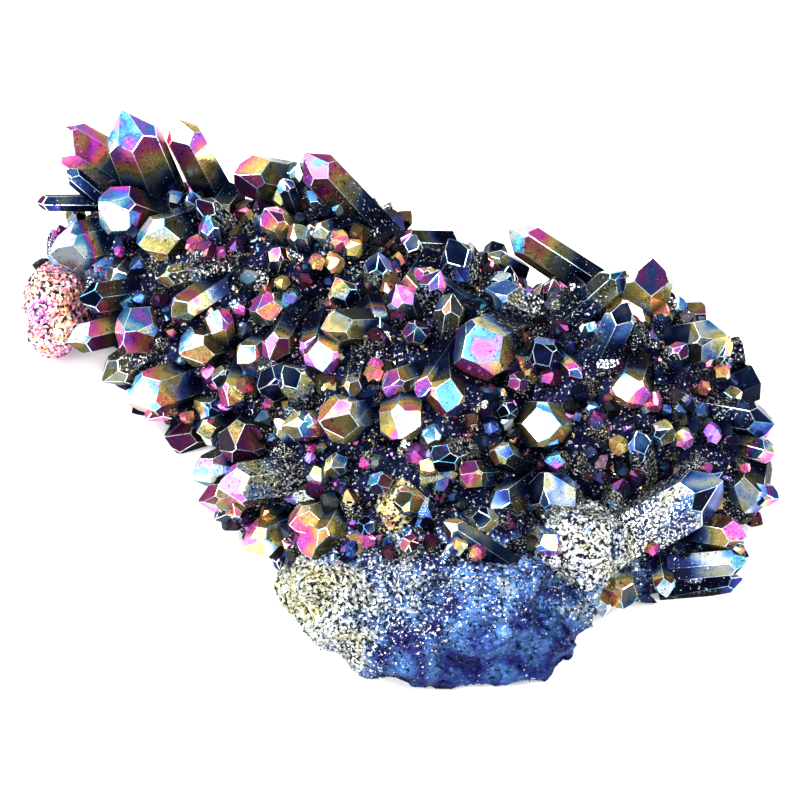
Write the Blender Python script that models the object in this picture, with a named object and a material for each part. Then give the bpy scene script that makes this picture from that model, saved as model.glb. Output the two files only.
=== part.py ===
"""A cluster of rainbow-coated quartz points standing on its own rough matrix.

Everything grew as one piece, so the model is one solid: a lumpy matrix and the quartz points
that stand on it, joined with a Boolean union and then sawn off flat underneath.
Sizes below are in millimetres, and MM turns them into metres.
"""

import math
import random
from collections import namedtuple

import bmesh
import bpy
from mathutils import Matrix, Vector, noise

MM = 0.001

# The show face looks up at this angle. Points on it are placed as they are seen from there:
# across to the right, up the face, and lifted out of it towards the eye.
SHOW_ELEVATION = math.radians(52)
ACROSS = Vector((1, 0, 0))
UP = Vector((0, math.sin(SHOW_ELEVATION), math.cos(SHOW_ELEVATION)))
TOWARD = Vector((0, -math.cos(SHOW_ELEVATION), math.sin(SHOW_ELEVATION)))

# The matrix is a heap of rounded lumps, measured from the middle of its sawn base. Its skin is a
# round mesh around a core below the base, drawn out along each direction until it meets a lump.
Lump = namedtuple("Lump", "name centre radii")
LUMPS = (
    Lump("middle", (2, -9, 4), (29, 27, 20)),
    Lump("front flank", (7, -32, 2), (24, 20.5, 14)),
    Lump("flank ridge", (-9.5, -37, 4), (7, 11, 9)),
    Lump("flank toe", (16, -46, 3), (9, 7, 7)),
    Lump("right shoulder", (30, -8, 4), (20, 21, 20)),
    Lump("right foot", (36, -25, 2), (15, 12, 10.5)),
    Lump("right end", (43, -16, 4), (11, 12, 12)),
    Lump("back saddle", (6, 8, 4), (14, 13, 15)),
    Lump("back ridge", (-13, 15, 4), (17, 15, 19)),
    Lump("left shoulder", (-28, 14, 4), (16, 15, 16)),
    Lump("left waist", (-29, 2, 3), (11, 9, 11)),
    Lump("left foot", (-18, -20, 3), (8, 9, 8)),
    Lump("left end", (-41, 23, 4), (13, 13, 15)),
)
MATRIX_CORE = Vector((2, -10, -14))
MATRIX_REACH = Vector((56, 44, 34))
MATRIX_DETAIL = 3
FINEST_STEP = 0.1

# Nodules are knobs of crust that bulge out of the matrix. Each is a round mesh of its own.
NODULES = (
    Lump("left knob", (-51.5, 12.5, 6.5), (5, 6.5, 7.5)),
    Lump("flank nodule", (25, -34, 8), (8.5, 7, 8.5)),
    Lump("cream knob", (0, -30, 11), (3.5, 5, 8)),
)
NODULE_DETAIL = 2
NODULE_SWELL = 0.4

# The matrix is bare on the front flank, which lies between these places across the show face and
# below this height up it. Bare rock has shorter edges, with humps and sharp ribs, which grow over
# BARE_BLEND from the crystals' edge and stay low where points cover the rock.
BARE_FROM = -20
BARE_TO = 36
BARE_TOP = -22
BARE_BLEND = 4
BARE_EDGE = 4.4
CROWN_EDGE = 14
SPLIT_ROUNDS = 3
HUMP_SIZE = 8
HUMP_HEIGHT = 3.6
RIB_SIZE = 7
RIB_HEIGHT = 5
RIB_CREST = 0.25
RIB_SHIFT = Vector((31, 7, 13))
CROWN_SWELL = 0.25
CROWN_DROP = 1.0

# Quartz: six prism sides closed by a six-sided point, whose faces lean this far from the axis.
# Three faces of the point are large. The three between them are cut higher, by a share of the
# width, and come out smaller.
SIDES = 6
POINT_ANGLE = math.radians(38.2)
SMALL_FACE_RISE = (0.02, 0.22)
TAPER = 0.06
MOST_SQUEEZE = 0.16
CORNER_SHARE = 1 / math.cos(math.pi / SIDES)

# A point's root starts below the lumps by SINK of its width and runs on to where it is deepest.
SINK = 0.3
ROOT_DEPTHS = (1.5, 7)
ROOT_STEP = 0.5

# Points are turned about their axes by the golden angle, so that no two beside each other match.
GOLDEN_TURN = math.radians(137.5)
FIRST_SEED = 11

# The saw takes off a block of this width and thickness under the base.
SAW_WIDTH = 200
SAW_THICKNESS = 60
FLAT_WITHIN = math.radians(0.5)

# One row for each point that stands out on the show face. across and up place its tip on the
# face, heading is the way it leans there (0 right, 90 up), lift is its lean towards the eye,
# length is what stands clear of the matrix, and width is measured across its flats.
Point = namedtuple("Point", "name across up heading lift length width")
Placed = namedtuple("Placed", "tip axis length width depth")
POINTS = (
    Point("north west spear", -53.0, 40.8, 150, 20, 14.0, 6.5),
    Point("blue cap", -41.7, 43.5, 112, 30, 14.0, 7.8),
    Point("gold edge", -34.1, 42.5, 118, 20, 12.5, 5.6),
    Point("navy spike", -50.1, 34.5, 140, 15, 7.0, 2.6),
    Point("west blade", -54.6, 29.6, 180, 5, 8.5, 2.6),
    Point("pale cap", -44.9, 29.4, 160, 50, 9.5, 7.0),
    Point("ice face", -52.4, 21.8, 195, 20, 8.0, 6.6),
    Point("cyan cheek", -38.9, 23.1, 198, 45, 9.0, 6.6),
    Point("red sliver", -28.4, 26.9, 235, 50, 6.5, 4.2),
    Point("pink pentagon", -33.9, 12.3, 215, 30, 9.0, 4.2),
    Point("teal roof", -40.8, 10.1, 190, 68, 8.0, 6.8),
    Point("violet wedge", -49.8, 8.6, 195, 25, 9.5, 5.2),
    Point("purple tent", -26.9, 13.4, 95, 50, 7.0, 4.4),
    Point("blue pentagon", -32.6, 6.8, 200, 45, 8.0, 5.8),
    Point("olive block", -21.3, 13.1, 190, 60, 7.0, 4.8),
    Point("magenta blade", -19.2, 5.7, 240, 45, 7.0, 5.0),
    Point("orange shield", -11.6, 10.5, 182, 35, 8.5, 5.4),
    Point("violet kite", -13.1, 5.6, 255, 50, 7.0, 4.2),
    Point("twin violet", -11.3, 4.1, 265, 62, 7.0, 5.6),
    Point("gold flag", -17.4, -3.9, 182, 30, 7.0, 4.2),
    Point("sunset point", -11.7, -3.2, 188, 50, 8.5, 6.4),
    Point("white shield", -0.2, -5.6, 262, 55, 8.0, 6.0),
    Point("great point", 9.0, 6.2, 200, 62, 11.0, 8.8),
    Point("night point", 6.8, -1.8, 275, 50, 7.0, 5.6),
    Point("ruby ledge", 2.6, 0.3, 235, 40, 6.5, 3.8),
    Point("magenta ledge", -2.6, 1.7, 200, 45, 7.0, 4.4),
    Point("deep purple", 0.8, 12.0, 235, 45, 11.0, 7.4),
    Point("rose lath", 2.1, 19.5, 145, 12, 7.0, 2.9),
    Point("milk shard", -2.7, 9.6, 290, 50, 6.0, 3.6),
    Point("north spear", -14.4, 36.8, 133, 20, 14.0, 6.2),
    Point("cyan nub", -15.3, 35.7, 60, 30, 6.0, 3.4),
    Point("plum block", -24.9, 33.9, 170, 35, 10.0, 6.4),
    Point("ice chip", -17.4, 33.0, 110, 40, 5.5, 2.6),
    Point("scarlet chip", -20.1, 28.4, 130, 40, 6.5, 4.2),
    Point("pink ridge", -8.7, 24.9, 190, 25, 8.0, 3.8),
    Point("olive chip", -13.1, 24.3, 200, 45, 5.2, 3.2),
    Point("maroon block", -1.2, 23.0, 178, 30, 8.5, 4.8),
    Point("sugar block", 7.2, 24.0, 110, 30, 6.5, 5.4),
    Point("amber nub", 13.1, 21.9, 150, 30, 5.5, 3.0),
    Point("violet nub", 13.1, 18.6, 250, 50, 5.0, 3.2),
    Point("crest spear", 16.1, 25.4, 147, 15, 13.0, 5.0),
    Point("east crown", 37.1, 21.0, 75, 40, 10.0, 7.4),
    Point("cream lath", 33.3, 19.1, 42, 10, 10.0, 4.4),
    Point("gold and pink", 32.3, 10.7, 238, 58, 8.5, 6.6),
    Point("olive crown", 48.0, 9.3, 10, 40, 9.0, 6.0),
    Point("steel log", 38.9, -2.9, 203, 20, 14.0, 6.0),
    Point("orange gem", 33.0, -0.3, 250, 60, 7.8, 5.2),
    Point("ruby shard", 26.6, 3.1, 315, 35, 6.0, 2.6),
    Point("five face", 23.4, -3.6, 0, 65, 8.5, 6.8),
    Point("lemon nub", 13.7, -7.2, 150, 55, 5.5, 3.4),
    Point("grey fin", 34.5, -4.5, 100, 45, 6.0, 4.0),
    Point("silver keel", 47.0, -11.7, 30, 20, 16.0, 8.2),
    Point("khaki gem", 50.5, -16.5, 260, 50, 7.5, 5.8),
    Point("blue prow", 50.7, -20.0, 350, 15, 8.8, 4.8),
    Point("pearl lath", 50.7, -23.4, 5, 8, 11.0, 3.8),
    Point("navy foot", 50.3, -26.1, 10, 5, 8.0, 3.2),
    Point("cream foot", 32.6, -30.5, 275, 30, 6.5, 4.4),
    Point("silver chunk", 21.0, -10.5, 110, 45, 9.0, 7.5),
    Point("grey horn", 13.2, -15.9, 215, 40, 6.5, 4.4),
    Point("amber gem", 8.9, -10.8, 180, 60, 6.5, 4.4),
    Point("blue lath", 6.2, -17.6, 147, 10, 9.5, 3.3),
    Point("brown gem", -12.9, -23.1, 240, 45, 8.5, 6.4),
    Point("copper gem", -16.1, -18.2, 195, 42, 7.5, 5.2),
    Point("maroon shield", -24.0, -7.2, 230, 72, 7.5, 7.0),
    Point("violet prow", -26.6, -12.8, 187, 25, 12.0, 6.0),
    Point("pale rim", -30.6, -11.7, 205, 25, 8.0, 4.8),
    Point("lilac prow", -29.7, -15.0, 192, 15, 8.0, 4.8),
    Point("cream chip", -27.3, -17.7, 225, 15, 6.0, 3.2),
    Point("south west gem", -23.0, -21.8, 205, 25, 8.0, 5.6),
    Point("navy bar", -17.6, -25.1, 268, 20, 6.0, 2.2),
    Point("ice bar", -15.6, -24.2, 285, 20, 5.5, 2.2),
    Point("cyan prow", -40.4, -0.3, 200, 30, 10.0, 6.4),
    Point("shell chip", -44.4, 2.7, 215, 20, 8.0, 4.8),
    Point("shell rim", -37.8, -3.0, 220, 15, 6.5, 4.4),
    Point("rim gem", -35.7, -8.4, 200, 20, 8.0, 5.6),
    Point("soot block", -35.1, -5.6, 185, 35, 8.0, 5.4),
    Point("cream tooth", -30.0, -4.8, 200, 40, 5.5, 3.2),
    Point("red tooth", -25.2, -0.9, 250, 50, 6.5, 4.6),
    Point("gold tooth", -24.0, 5.4, 215, 40, 6.0, 4.0),
    Point("long lath", -13.7, 12.4, 222, 5, 11.0, 2.8),
    Point("silver lath", 12.6, 16.5, 150, 20, 9.0, 5.6),
    Point("blue chip", 19.7, 8.4, 130, 50, 6.5, 4.6),
    Point("navy log", 40.8, 5.1, 190, 10, 9.0, 4.6),
    Point("east knob", 55.0, -3.6, 350, 20, 9.0, 5.0),
    Point("east chip", 54.9, -8.0, 345, 30, 6.5, 3.2),
    Point("east tooth", 55.6, -14.5, 345, 20, 6.6, 3.4),
    Point("foot chip", 38.9, -28.8, 280, 20, 4.8, 3.2),
    Point("foot tooth", 29.6, -31.8, 265, 25, 5.2, 3.0),
    Point("cream bar", -36.3, 17.9, 190, 15, 8.0, 3.4),
    Point("salt chip", -43.2, 17.6, 230, 45, 5.0, 3.0),
    Point("soot bar", -48.0, 15.0, 188, 20, 8.5, 4.6),
    Point("bronze bar", -7.2, 0.3, 258, 50, 5.5, 3.2),
    Point("teal chip", -13.4, -2.1, 100, 55, 5.0, 2.6),
    Point("slate block", 4.8, -9.0, 200, 55, 7.0, 4.6),
    Point("ink gem", -20.7, 1.5, 200, 50, 7.0, 5.0),
    Point("druse nub", -27.8, 3.0, 190, 50, 5.5, 3.4),
)

# Smaller points fill the rest of the crown and the hidden flanks. They keep off the bare rock, and
# inside the cluster's edge, which is given across and up the show face.
FILLER_TRIES = 6000
FILLER_MOST = 60
FILLER_WIDTHS = (2.6, 4.8)
FILLER_STANDS = (1.1, 1.8)
FILLER_SPACING = 0.5
FILLER_LEAN = 0.35
FILLER_RISE = 0.35
FILLER_LOWEST = 3.5
EDGE = (
    (-56, 14), (-53, 8), (-46, 3), (-38, -4), (-35, -10), (-28, -17), (-21, -25), (-15, -30),
    (-10, -36), (0, -41), (9, -43), (20, -40), (28, -35), (36, -31), (50, -27), (51, -20),
    (56, -12), (55, -5), (50, 2), (48, 10), (42, 19), (36, 21), (30, 19), (24, 20), (12, 21),
    (6, 24), (-3, 26), (-14, 36), (-23, 35), (-28, 33), (-33, 41), (-42, 42), (-53, 40),
    (-50, 33), (-54, 28), (-52, 20),
)


def lump_gap(spot):
    """How far spot is outside the nearest lump, below zero inside it."""
    gaps = []
    for lump in LUMPS:
        scaled = Vector(((spot[i] - lump.centre[i]) / lump.radii[i] for i in range(3)))
        gaps.append((scaled.length - 1) * min(lump.radii))
    return min(gaps)


def first_touch(start, way, reach):
    """The first spot of the lumps along a line, or the nearest spot to them where it misses."""
    gone, best, least = 0, None, math.inf
    while gone < reach and least > 0:
        spot = start + way * gone
        gap = lump_gap(spot)
        if gap < least:
            best, least = spot, gap
        gone += max(gap, FINEST_STEP)
    return best


def bareness(spot):
    """How bare a spot of the matrix is: 0 under the crystals, 1 well down the front flank."""
    across, up = spot.dot(ACROSS), spot.dot(UP)
    if not BARE_FROM < across < BARE_TO:
        return 0
    return min(max((BARE_TOP - up) / BARE_BLEND, 0), 1)


def relief(spot):
    """The humps and ribs of bare rock at a spot."""
    humps = noise.noise(spot / HUMP_SIZE) * HUMP_HEIGHT
    ribs = (RIB_CREST - abs(noise.noise(spot / RIB_SIZE + RIB_SHIFT))) * RIB_HEIGHT
    return humps + ribs


def swell(spot):
    """How far the matrix stands out of its lumps."""
    bare = bareness(spot)
    share = CROWN_SWELL + (1 - CROWN_SWELL) * bare
    return relief(spot) * share - CROWN_DROP * (1 - bare)


def inside_edge(spot):
    """Whether a spot is inside the cluster's edge, seen from in front of the show face."""
    across, up = spot.dot(ACROSS), spot.dot(UP)
    inside = False
    for (a, b), (c, d) in zip(EDGE, EDGE[1:] + EDGE[:1]):
        if (b > up) != (d > up) and across < a + (c - a) * (up - b) / (d - b):
            inside = not inside
    return inside


def matrix_spot(way):
    """The matrix's surface in one direction from its core."""
    way = Vector((way[i] * MATRIX_REACH[i] for i in range(3)))
    reach = way.length * 1.4
    way.normalize()
    spot = first_touch(MATRIX_CORE + way * reach, -way, reach)
    return spot + way * swell(spot)


def split_long_edges(bm):
    """Halve the edges of the round mesh that would come out too long above the base."""
    spots = {vert: matrix_spot(vert.co.normalized()) for vert in bm.verts}
    too_long = []
    for edge in bm.edges:
        ends = [spots[vert] for vert in edge.verts]
        most = BARE_EDGE if any(bareness(end) for end in ends) else CROWN_EDGE
        if max(end.z for end in ends) > 0 and (ends[0] - ends[1]).length > most:
            too_long.append(edge)
    bmesh.ops.subdivide_edges(bm, edges=too_long, cuts=1)
    bmesh.ops.triangulate(bm, faces=bm.faces[:])


def build_matrix():
    """The rough matrix: a round mesh drawn out to the lumps."""
    bm = bmesh.new()
    bmesh.ops.create_icosphere(bm, subdivisions=MATRIX_DETAIL, radius=1)
    for _ in range(SPLIT_ROUNDS):
        split_long_edges(bm)
    for vert in bm.verts:
        vert.co = matrix_spot(vert.co.normalized()) * MM
    bmesh.ops.recalc_face_normals(bm, faces=bm.faces[:])
    return bm


def build_nodule(nodule):
    """A knob of crust: a round mesh stretched to its radii, with the rock's relief."""
    bm = bmesh.new()
    bmesh.ops.create_icosphere(bm, subdivisions=NODULE_DETAIL, radius=1)
    for vert in bm.verts:
        way = vert.co.normalized()
        spot = Vector(nodule.centre) + Vector((way[i] * nodule.radii[i] for i in range(3)))
        vert.co = (spot + way * relief(spot) * NODULE_SWELL) * MM
    return bm


def build_saw():
    """The block below the base that the saw takes away."""
    bm = bmesh.new()
    bmesh.ops.create_cube(bm, size=1)
    size = Vector((SAW_WIDTH, SAW_WIDTH, SAW_THICKNESS)) * MM
    bmesh.ops.scale(bm, vec=size, verts=bm.verts[:])
    bmesh.ops.translate(bm, vec=(0, 0, -SAW_THICKNESS / 2 * MM), verts=bm.verts[:])
    return bm


def root_depth(root, axis):
    """How far a point's root runs on below the surface: to where it is buried deepest."""
    least, most = ROOT_DEPTHS
    depths = [least + i * ROOT_STEP for i in range(int((most - least) / ROOT_STEP) + 1)]
    return min(depths, key=lambda depth: lump_gap(root - axis * depth))


def build_point(length, width, depth, seed):
    """A quartz point along +Z that rises from the origin to length, and has its root below."""
    draw = random.Random(seed)
    bm = bmesh.new()
    height = length + depth + width
    bmesh.ops.create_cone(
        bm,
        cap_ends=True,
        segments=SIDES,
        radius1=width / 2 * CORNER_SHARE * (1 + TAPER),
        radius2=width / 2 * CORNER_SHARE * (1 - TAPER),
        depth=height,
        matrix=Matrix.Translation((0, 0, height / 2 - depth)),
    )
    bmesh.ops.scale(bm, vec=(1, 1 - draw.random() * MOST_SQUEEZE, 1), verts=bm.verts[:])
    for side in range(SIDES):
        turn = math.tau * (side + 0.5) / SIDES
        rise = width * draw.uniform(*SMALL_FACE_RISE) * (side % 2)
        normal = Vector((math.cos(turn), math.sin(turn), math.tan(POINT_ANGLE))).normalized()
        cut = bmesh.ops.bisect_plane(
            bm,
            geom=bm.verts[:] + bm.edges[:] + bm.faces[:],
            plane_co=(0, 0, length + rise),
            plane_no=normal,
            clear_outer=True,
        )
        rim = [item for item in cut["geom_cut"] if isinstance(item, bmesh.types.BMEdge)]
        if rim:
            bmesh.ops.edgeloop_fill(bm, edges=rim)
    bmesh.ops.recalc_face_normals(bm, faces=bm.faces[:])
    return bm


def stand(tip, axis, length, turn):
    """The placing of a point whose tip and axis are known."""
    frame = axis.to_track_quat("Z", "Y").to_matrix().to_4x4()
    return Matrix.Translation(tip - axis * length) @ frame @ Matrix.Rotation(turn, 4, "Z")


def show_face_points():
    """Every listed point, with its root set where it meets the lumps."""
    placed = []
    for point in POINTS:
        heading, lift = math.radians(point.heading), math.radians(point.lift)
        flat = ACROSS * math.cos(heading) + UP * math.sin(heading)
        axis = (flat * math.cos(lift) + TOWARD * math.sin(lift)).normalized()
        tip = ACROSS * point.across + UP * point.up
        root = tip - axis * point.length
        root = first_touch(root + TOWARD * 90, -TOWARD, 180) - TOWARD * SINK * point.width
        depth = root_depth(root, axis)
        placed.append(Placed(root + axis * point.length, axis, point.length, point.width, depth))
    return placed


def filler_points(taken):
    """Smaller points scattered over the lumps, clear of those already standing there."""
    draw = random.Random(FIRST_SEED)
    fillers = []
    for _ in range(FILLER_TRIES):
        way = Vector((draw.gauss(0, 1), draw.gauss(0, 1), draw.gauss(0, 1))).normalized()
        width = draw.uniform(*FILLER_WIDTHS)
        length = width * draw.uniform(*FILLER_STANDS)
        lean = Vector((draw.gauss(0, 1), draw.gauss(0, 1), draw.gauss(0, 1))) * FILLER_LEAN
        root = matrix_spot(way)
        if root.z < FILLER_LOWEST or bareness(root):
            continue
        rise = Vector((0, 0, FILLER_RISE))
        axis = ((root - MATRIX_CORE).normalized() + rise + lean).normalized()
        tip = root + axis * length
        if not inside_edge(tip):
            continue
        crowded = any(
            min((tip - p.tip).length, (root - p.tip + p.axis * p.length).length)
            < (width + p.width) * FILLER_SPACING
            for p in taken + fillers
        )
        if not crowded:
            fillers.append(Placed(tip, axis, length, width, root_depth(root, axis)))
        if len(fillers) == FILLER_MOST:
            break
    return fillers


def quartz_material():
    """The metal film that the points wear: violet-blue, smooth and shining."""
    material = bpy.data.materials.new("titanium film on quartz")
    material.use_nodes = True
    shader = material.node_tree.nodes["Principled BSDF"]
    shader.inputs["Base Color"].default_value = (0.22, 0.16, 0.42, 1)
    shader.inputs["Metallic"].default_value = 0.9
    shader.inputs["Roughness"].default_value = 0.22
    return material


def add_object(name, bm, collection):
    """A mesh object from a finished bmesh."""
    mesh = bpy.data.meshes.new(name)
    bm.to_mesh(mesh)
    bm.free()
    made = bpy.data.objects.new(name, mesh)
    collection.objects.link(made)
    return made


def islands(bm):
    """The mesh's faces, in groups that hang together."""
    left, groups = set(bm.faces), []
    while left:
        group, waiting = [], [left.pop()]
        while waiting:
            face = waiting.pop()
            group.append(face)
            near = {other for edge in face.edges for other in edge.link_faces} & left
            left -= near
            waiting.extend(near)
        groups.append(group)
    return groups


def join_and_saw(cluster, points, saw):
    """Join the points to the matrix, saw the base, and keep only the one outer skin."""
    join = cluster.modifiers.new("join the points", "BOOLEAN")
    join.operation = "UNION"
    join.solver = "MANIFOLD"
    join.operand_type = "COLLECTION"
    join.collection = points
    cut = cluster.modifiers.new("saw the base", "BOOLEAN")
    cut.operation = "DIFFERENCE"
    cut.solver = "MANIFOLD"
    cut.object = saw
    graph = bpy.context.evaluated_depsgraph_get()
    bm = bmesh.new()
    bm.from_object(cluster, graph)
    cluster.modifiers.clear()
    for group in sorted(islands(bm), key=len)[:-1]:
        bmesh.ops.delete(bm, geom=group, context="FACES")
    bmesh.ops.dissolve_limit(
        bm, angle_limit=FLAT_WITHIN, verts=bm.verts[:], edges=bm.edges[:]
    )
    bmesh.ops.triangulate(bm, faces=bm.faces[:])
    bm.to_mesh(cluster.data)
    bm.free()


def add_collection(name):
    """A new collection in the scene."""
    made = bpy.data.collections.new(name)
    bpy.context.scene.collection.children.link(made)
    return made


def main():
    for old in list(bpy.data.objects):
        bpy.data.objects.remove(old)
    shown = add_collection("quartz cluster")
    points = add_collection("points to join")
    cutters = add_collection("cutters")

    cluster = add_object("quartz_cluster", build_matrix(), shown)
    cluster.data.materials.append(quartz_material())

    listed = show_face_points()
    for number, placed in enumerate(listed + filler_points(listed)):
        bm = build_point(placed.length, placed.width, placed.depth, FIRST_SEED + number)
        bm.transform(stand(placed.tip, placed.axis, placed.length, GOLDEN_TURN * number))
        bmesh.ops.scale(bm, vec=(MM, MM, MM), verts=bm.verts[:])
        add_object(f"point_{number:03d}", bm, points)
    for nodule in NODULES:
        add_object(nodule.name, build_nodule(nodule), points)

    saw = add_object("saw", build_saw(), cutters)
    saw.hide_render = True
    saw.display_type = "WIRE"
    join_and_saw(cluster, points, saw)
    for point in list(points.objects):
        bpy.data.objects.remove(point)
    bpy.data.collections.remove(points)


main()
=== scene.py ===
"""The looks of a film-coated quartz cluster: its rock, its crystals, the grains between them.

The cluster is one natural piece. Its rock is a heap of rounded lumps, sawn flat underneath, and
hexagonal quartz points stand on it. A metal film colours everything by its thickness, from navy
through silver, gold, magenta and violet to cyan. Sizes in the code are millimetres unless they say
else, and MM turns them into metres.
"""

import math
import random
from collections import namedtuple

import bmesh
import bpy
import numpy as np
from bpy.props import FloatProperty, FloatVectorProperty, IntProperty, PointerProperty
from mathutils import Matrix, Vector, noise


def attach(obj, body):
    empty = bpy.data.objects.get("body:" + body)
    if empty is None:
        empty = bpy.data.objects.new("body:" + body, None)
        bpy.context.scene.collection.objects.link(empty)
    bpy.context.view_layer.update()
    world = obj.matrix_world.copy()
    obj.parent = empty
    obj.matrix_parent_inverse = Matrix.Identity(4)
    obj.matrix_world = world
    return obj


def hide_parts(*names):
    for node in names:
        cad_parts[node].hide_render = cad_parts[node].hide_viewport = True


bl_info = {
    "name": "Coated quartz cluster",
    "version": (1, 0, 0),
    "blender": (4, 5, 0),
    "location": "View3D > Sidebar > Quartz",
    "description": "Builds a film-coated quartz cluster on its rock, and the stage it is seen on",
    "category": "Add Mesh",
}

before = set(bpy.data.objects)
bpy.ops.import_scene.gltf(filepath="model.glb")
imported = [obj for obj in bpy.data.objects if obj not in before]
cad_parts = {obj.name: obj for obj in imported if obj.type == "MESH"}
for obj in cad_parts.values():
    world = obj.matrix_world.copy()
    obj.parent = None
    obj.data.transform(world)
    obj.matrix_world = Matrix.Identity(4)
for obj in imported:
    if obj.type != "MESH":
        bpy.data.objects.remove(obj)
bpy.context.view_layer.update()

NODE = "quartz_cluster"
BODY = "root"
MM = 0.001

# The show face looks up at this angle. Points on it are placed as they are seen from there:
# across to the right, up the face, and lifted out of it towards the eye.
SHOW_ELEVATION = math.radians(52)
ACROSS = Vector((1, 0, 0))
UP = Vector((0, math.sin(SHOW_ELEVATION), math.cos(SHOW_ELEVATION)))
TOWARD = Vector((0, -math.cos(SHOW_ELEVATION), math.sin(SHOW_ELEVATION)))

# The rock is a heap of rounded lumps, measured from the middle of its sawn base. Its skin is a
# round mesh around a core below the base, drawn out along each direction until it meets a lump.
# The directions are stretched by MATRIX_REACH, searched from REACH_MARGIN times as far out, and
# walked in steps of FINEST_STEP at least.
Lump = namedtuple("Lump", "name centre radii")
LUMPS = (
    Lump("middle", (2, -9, 4), (29, 27, 20)),
    Lump("front flank", (7, -32, 2), (24, 20.5, 14)),
    Lump("flank ridge", (-9.5, -37, 4), (7, 11, 9)),
    Lump("flank toe", (16, -46, 3), (9, 7, 7)),
    Lump("right shoulder", (30, -8, 4), (20, 21, 20)),
    Lump("right foot", (36, -25, 2), (15, 12, 10.5)),
    Lump("right end", (43, -16, 4), (11, 12, 12)),
    Lump("back saddle", (6, 8, 4), (14, 13, 15)),
    Lump("back ridge", (-13, 15, 4), (17, 15, 19)),
    Lump("left shoulder", (-28, 14, 4), (16, 15, 16)),
    Lump("left waist", (-29, 2, 3), (11, 9, 11)),
    Lump("left foot", (-18, -20, 3), (8, 9, 8)),
    Lump("left end", (-41, 23, 4), (13, 13, 15)),
)
MATRIX_CORE = Vector((2, -10, -14))
MATRIX_REACH = Vector((56, 44, 34))
REACH_MARGIN = 1.4
FINEST_STEP = 0.1
ROCK_DETAIL = 5
SPLIT_ROUNDS = 3

# Nodules are knobs of crust that bulge out of the matrix. Each is a round mesh of its own.
NODULES = (
    Lump("left knob", (-51.5, 12.5, 6.5), (5, 6.5, 7.5)),
    Lump("flank nodule", (25, -34, 8), (8.5, 7, 8.5)),
    Lump("cream knob", (0, -30, 11), (3.5, 5, 8)),
)
NODULE_SWELL = 0.4
NODULE_DETAIL = 5

# The matrix is bare on the front flank, which lies between these places across the show face and
# below this height up it. Bare rock has shorter edges, with humps and sharp ribs, which grow over
# BARE_BLEND from the crystals' edge and stay low where points cover the rock.
BARE_FROM = -20
BARE_TO = 36
BARE_TOP = -22
BARE_BLEND = 4
HUMP_SIZE = 8
HUMP_HEIGHT = 3.6
RIB_SIZE = 7
RIB_HEIGHT = 5
RIB_CREST = 0.25
RIB_SHIFT = Vector((31, 7, 13))
CROWN_SWELL = 0.25
CROWN_DROP = 1.0

# The rock's small facets: how far apart the cells draw their lean, and the finer relief on top.
CELL_STRIDE = 7.3
FINE_CRUMPLE = 3.1
FINE_SHARE = 0.35

# Quartz: six prism sides closed by a six-sided point, whose faces lean this far from the axis.
# Three faces of the point are large. The three between them are cut higher, by a share of the
# width, and come out smaller.
SIDES = 6
POINT_ANGLE = math.radians(38.2)
SMALL_FACE_RISE = (0.02, 0.22)
TAPER = 0.06
MOST_SQUEEZE = 0.16
CORNER_SHARE = 1 / math.cos(math.pi / SIDES)
SHARP_ANGLE = math.radians(5)

# A point's root starts below the lumps by SINK of its width and runs on to where it is deepest.
# Its place on the lumps is looked for from SIGHT_REACH in front of the show face. Each point is
# turned on its axis by one golden turn more than the last.
SINK = 0.3
SIGHT_REACH = 90
ROOT_DEPTHS = (1.5, 7)
ROOT_STEP = 0.5
GOLDEN_TURN = math.radians(137.5)
FIRST_SEED = 11

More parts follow.
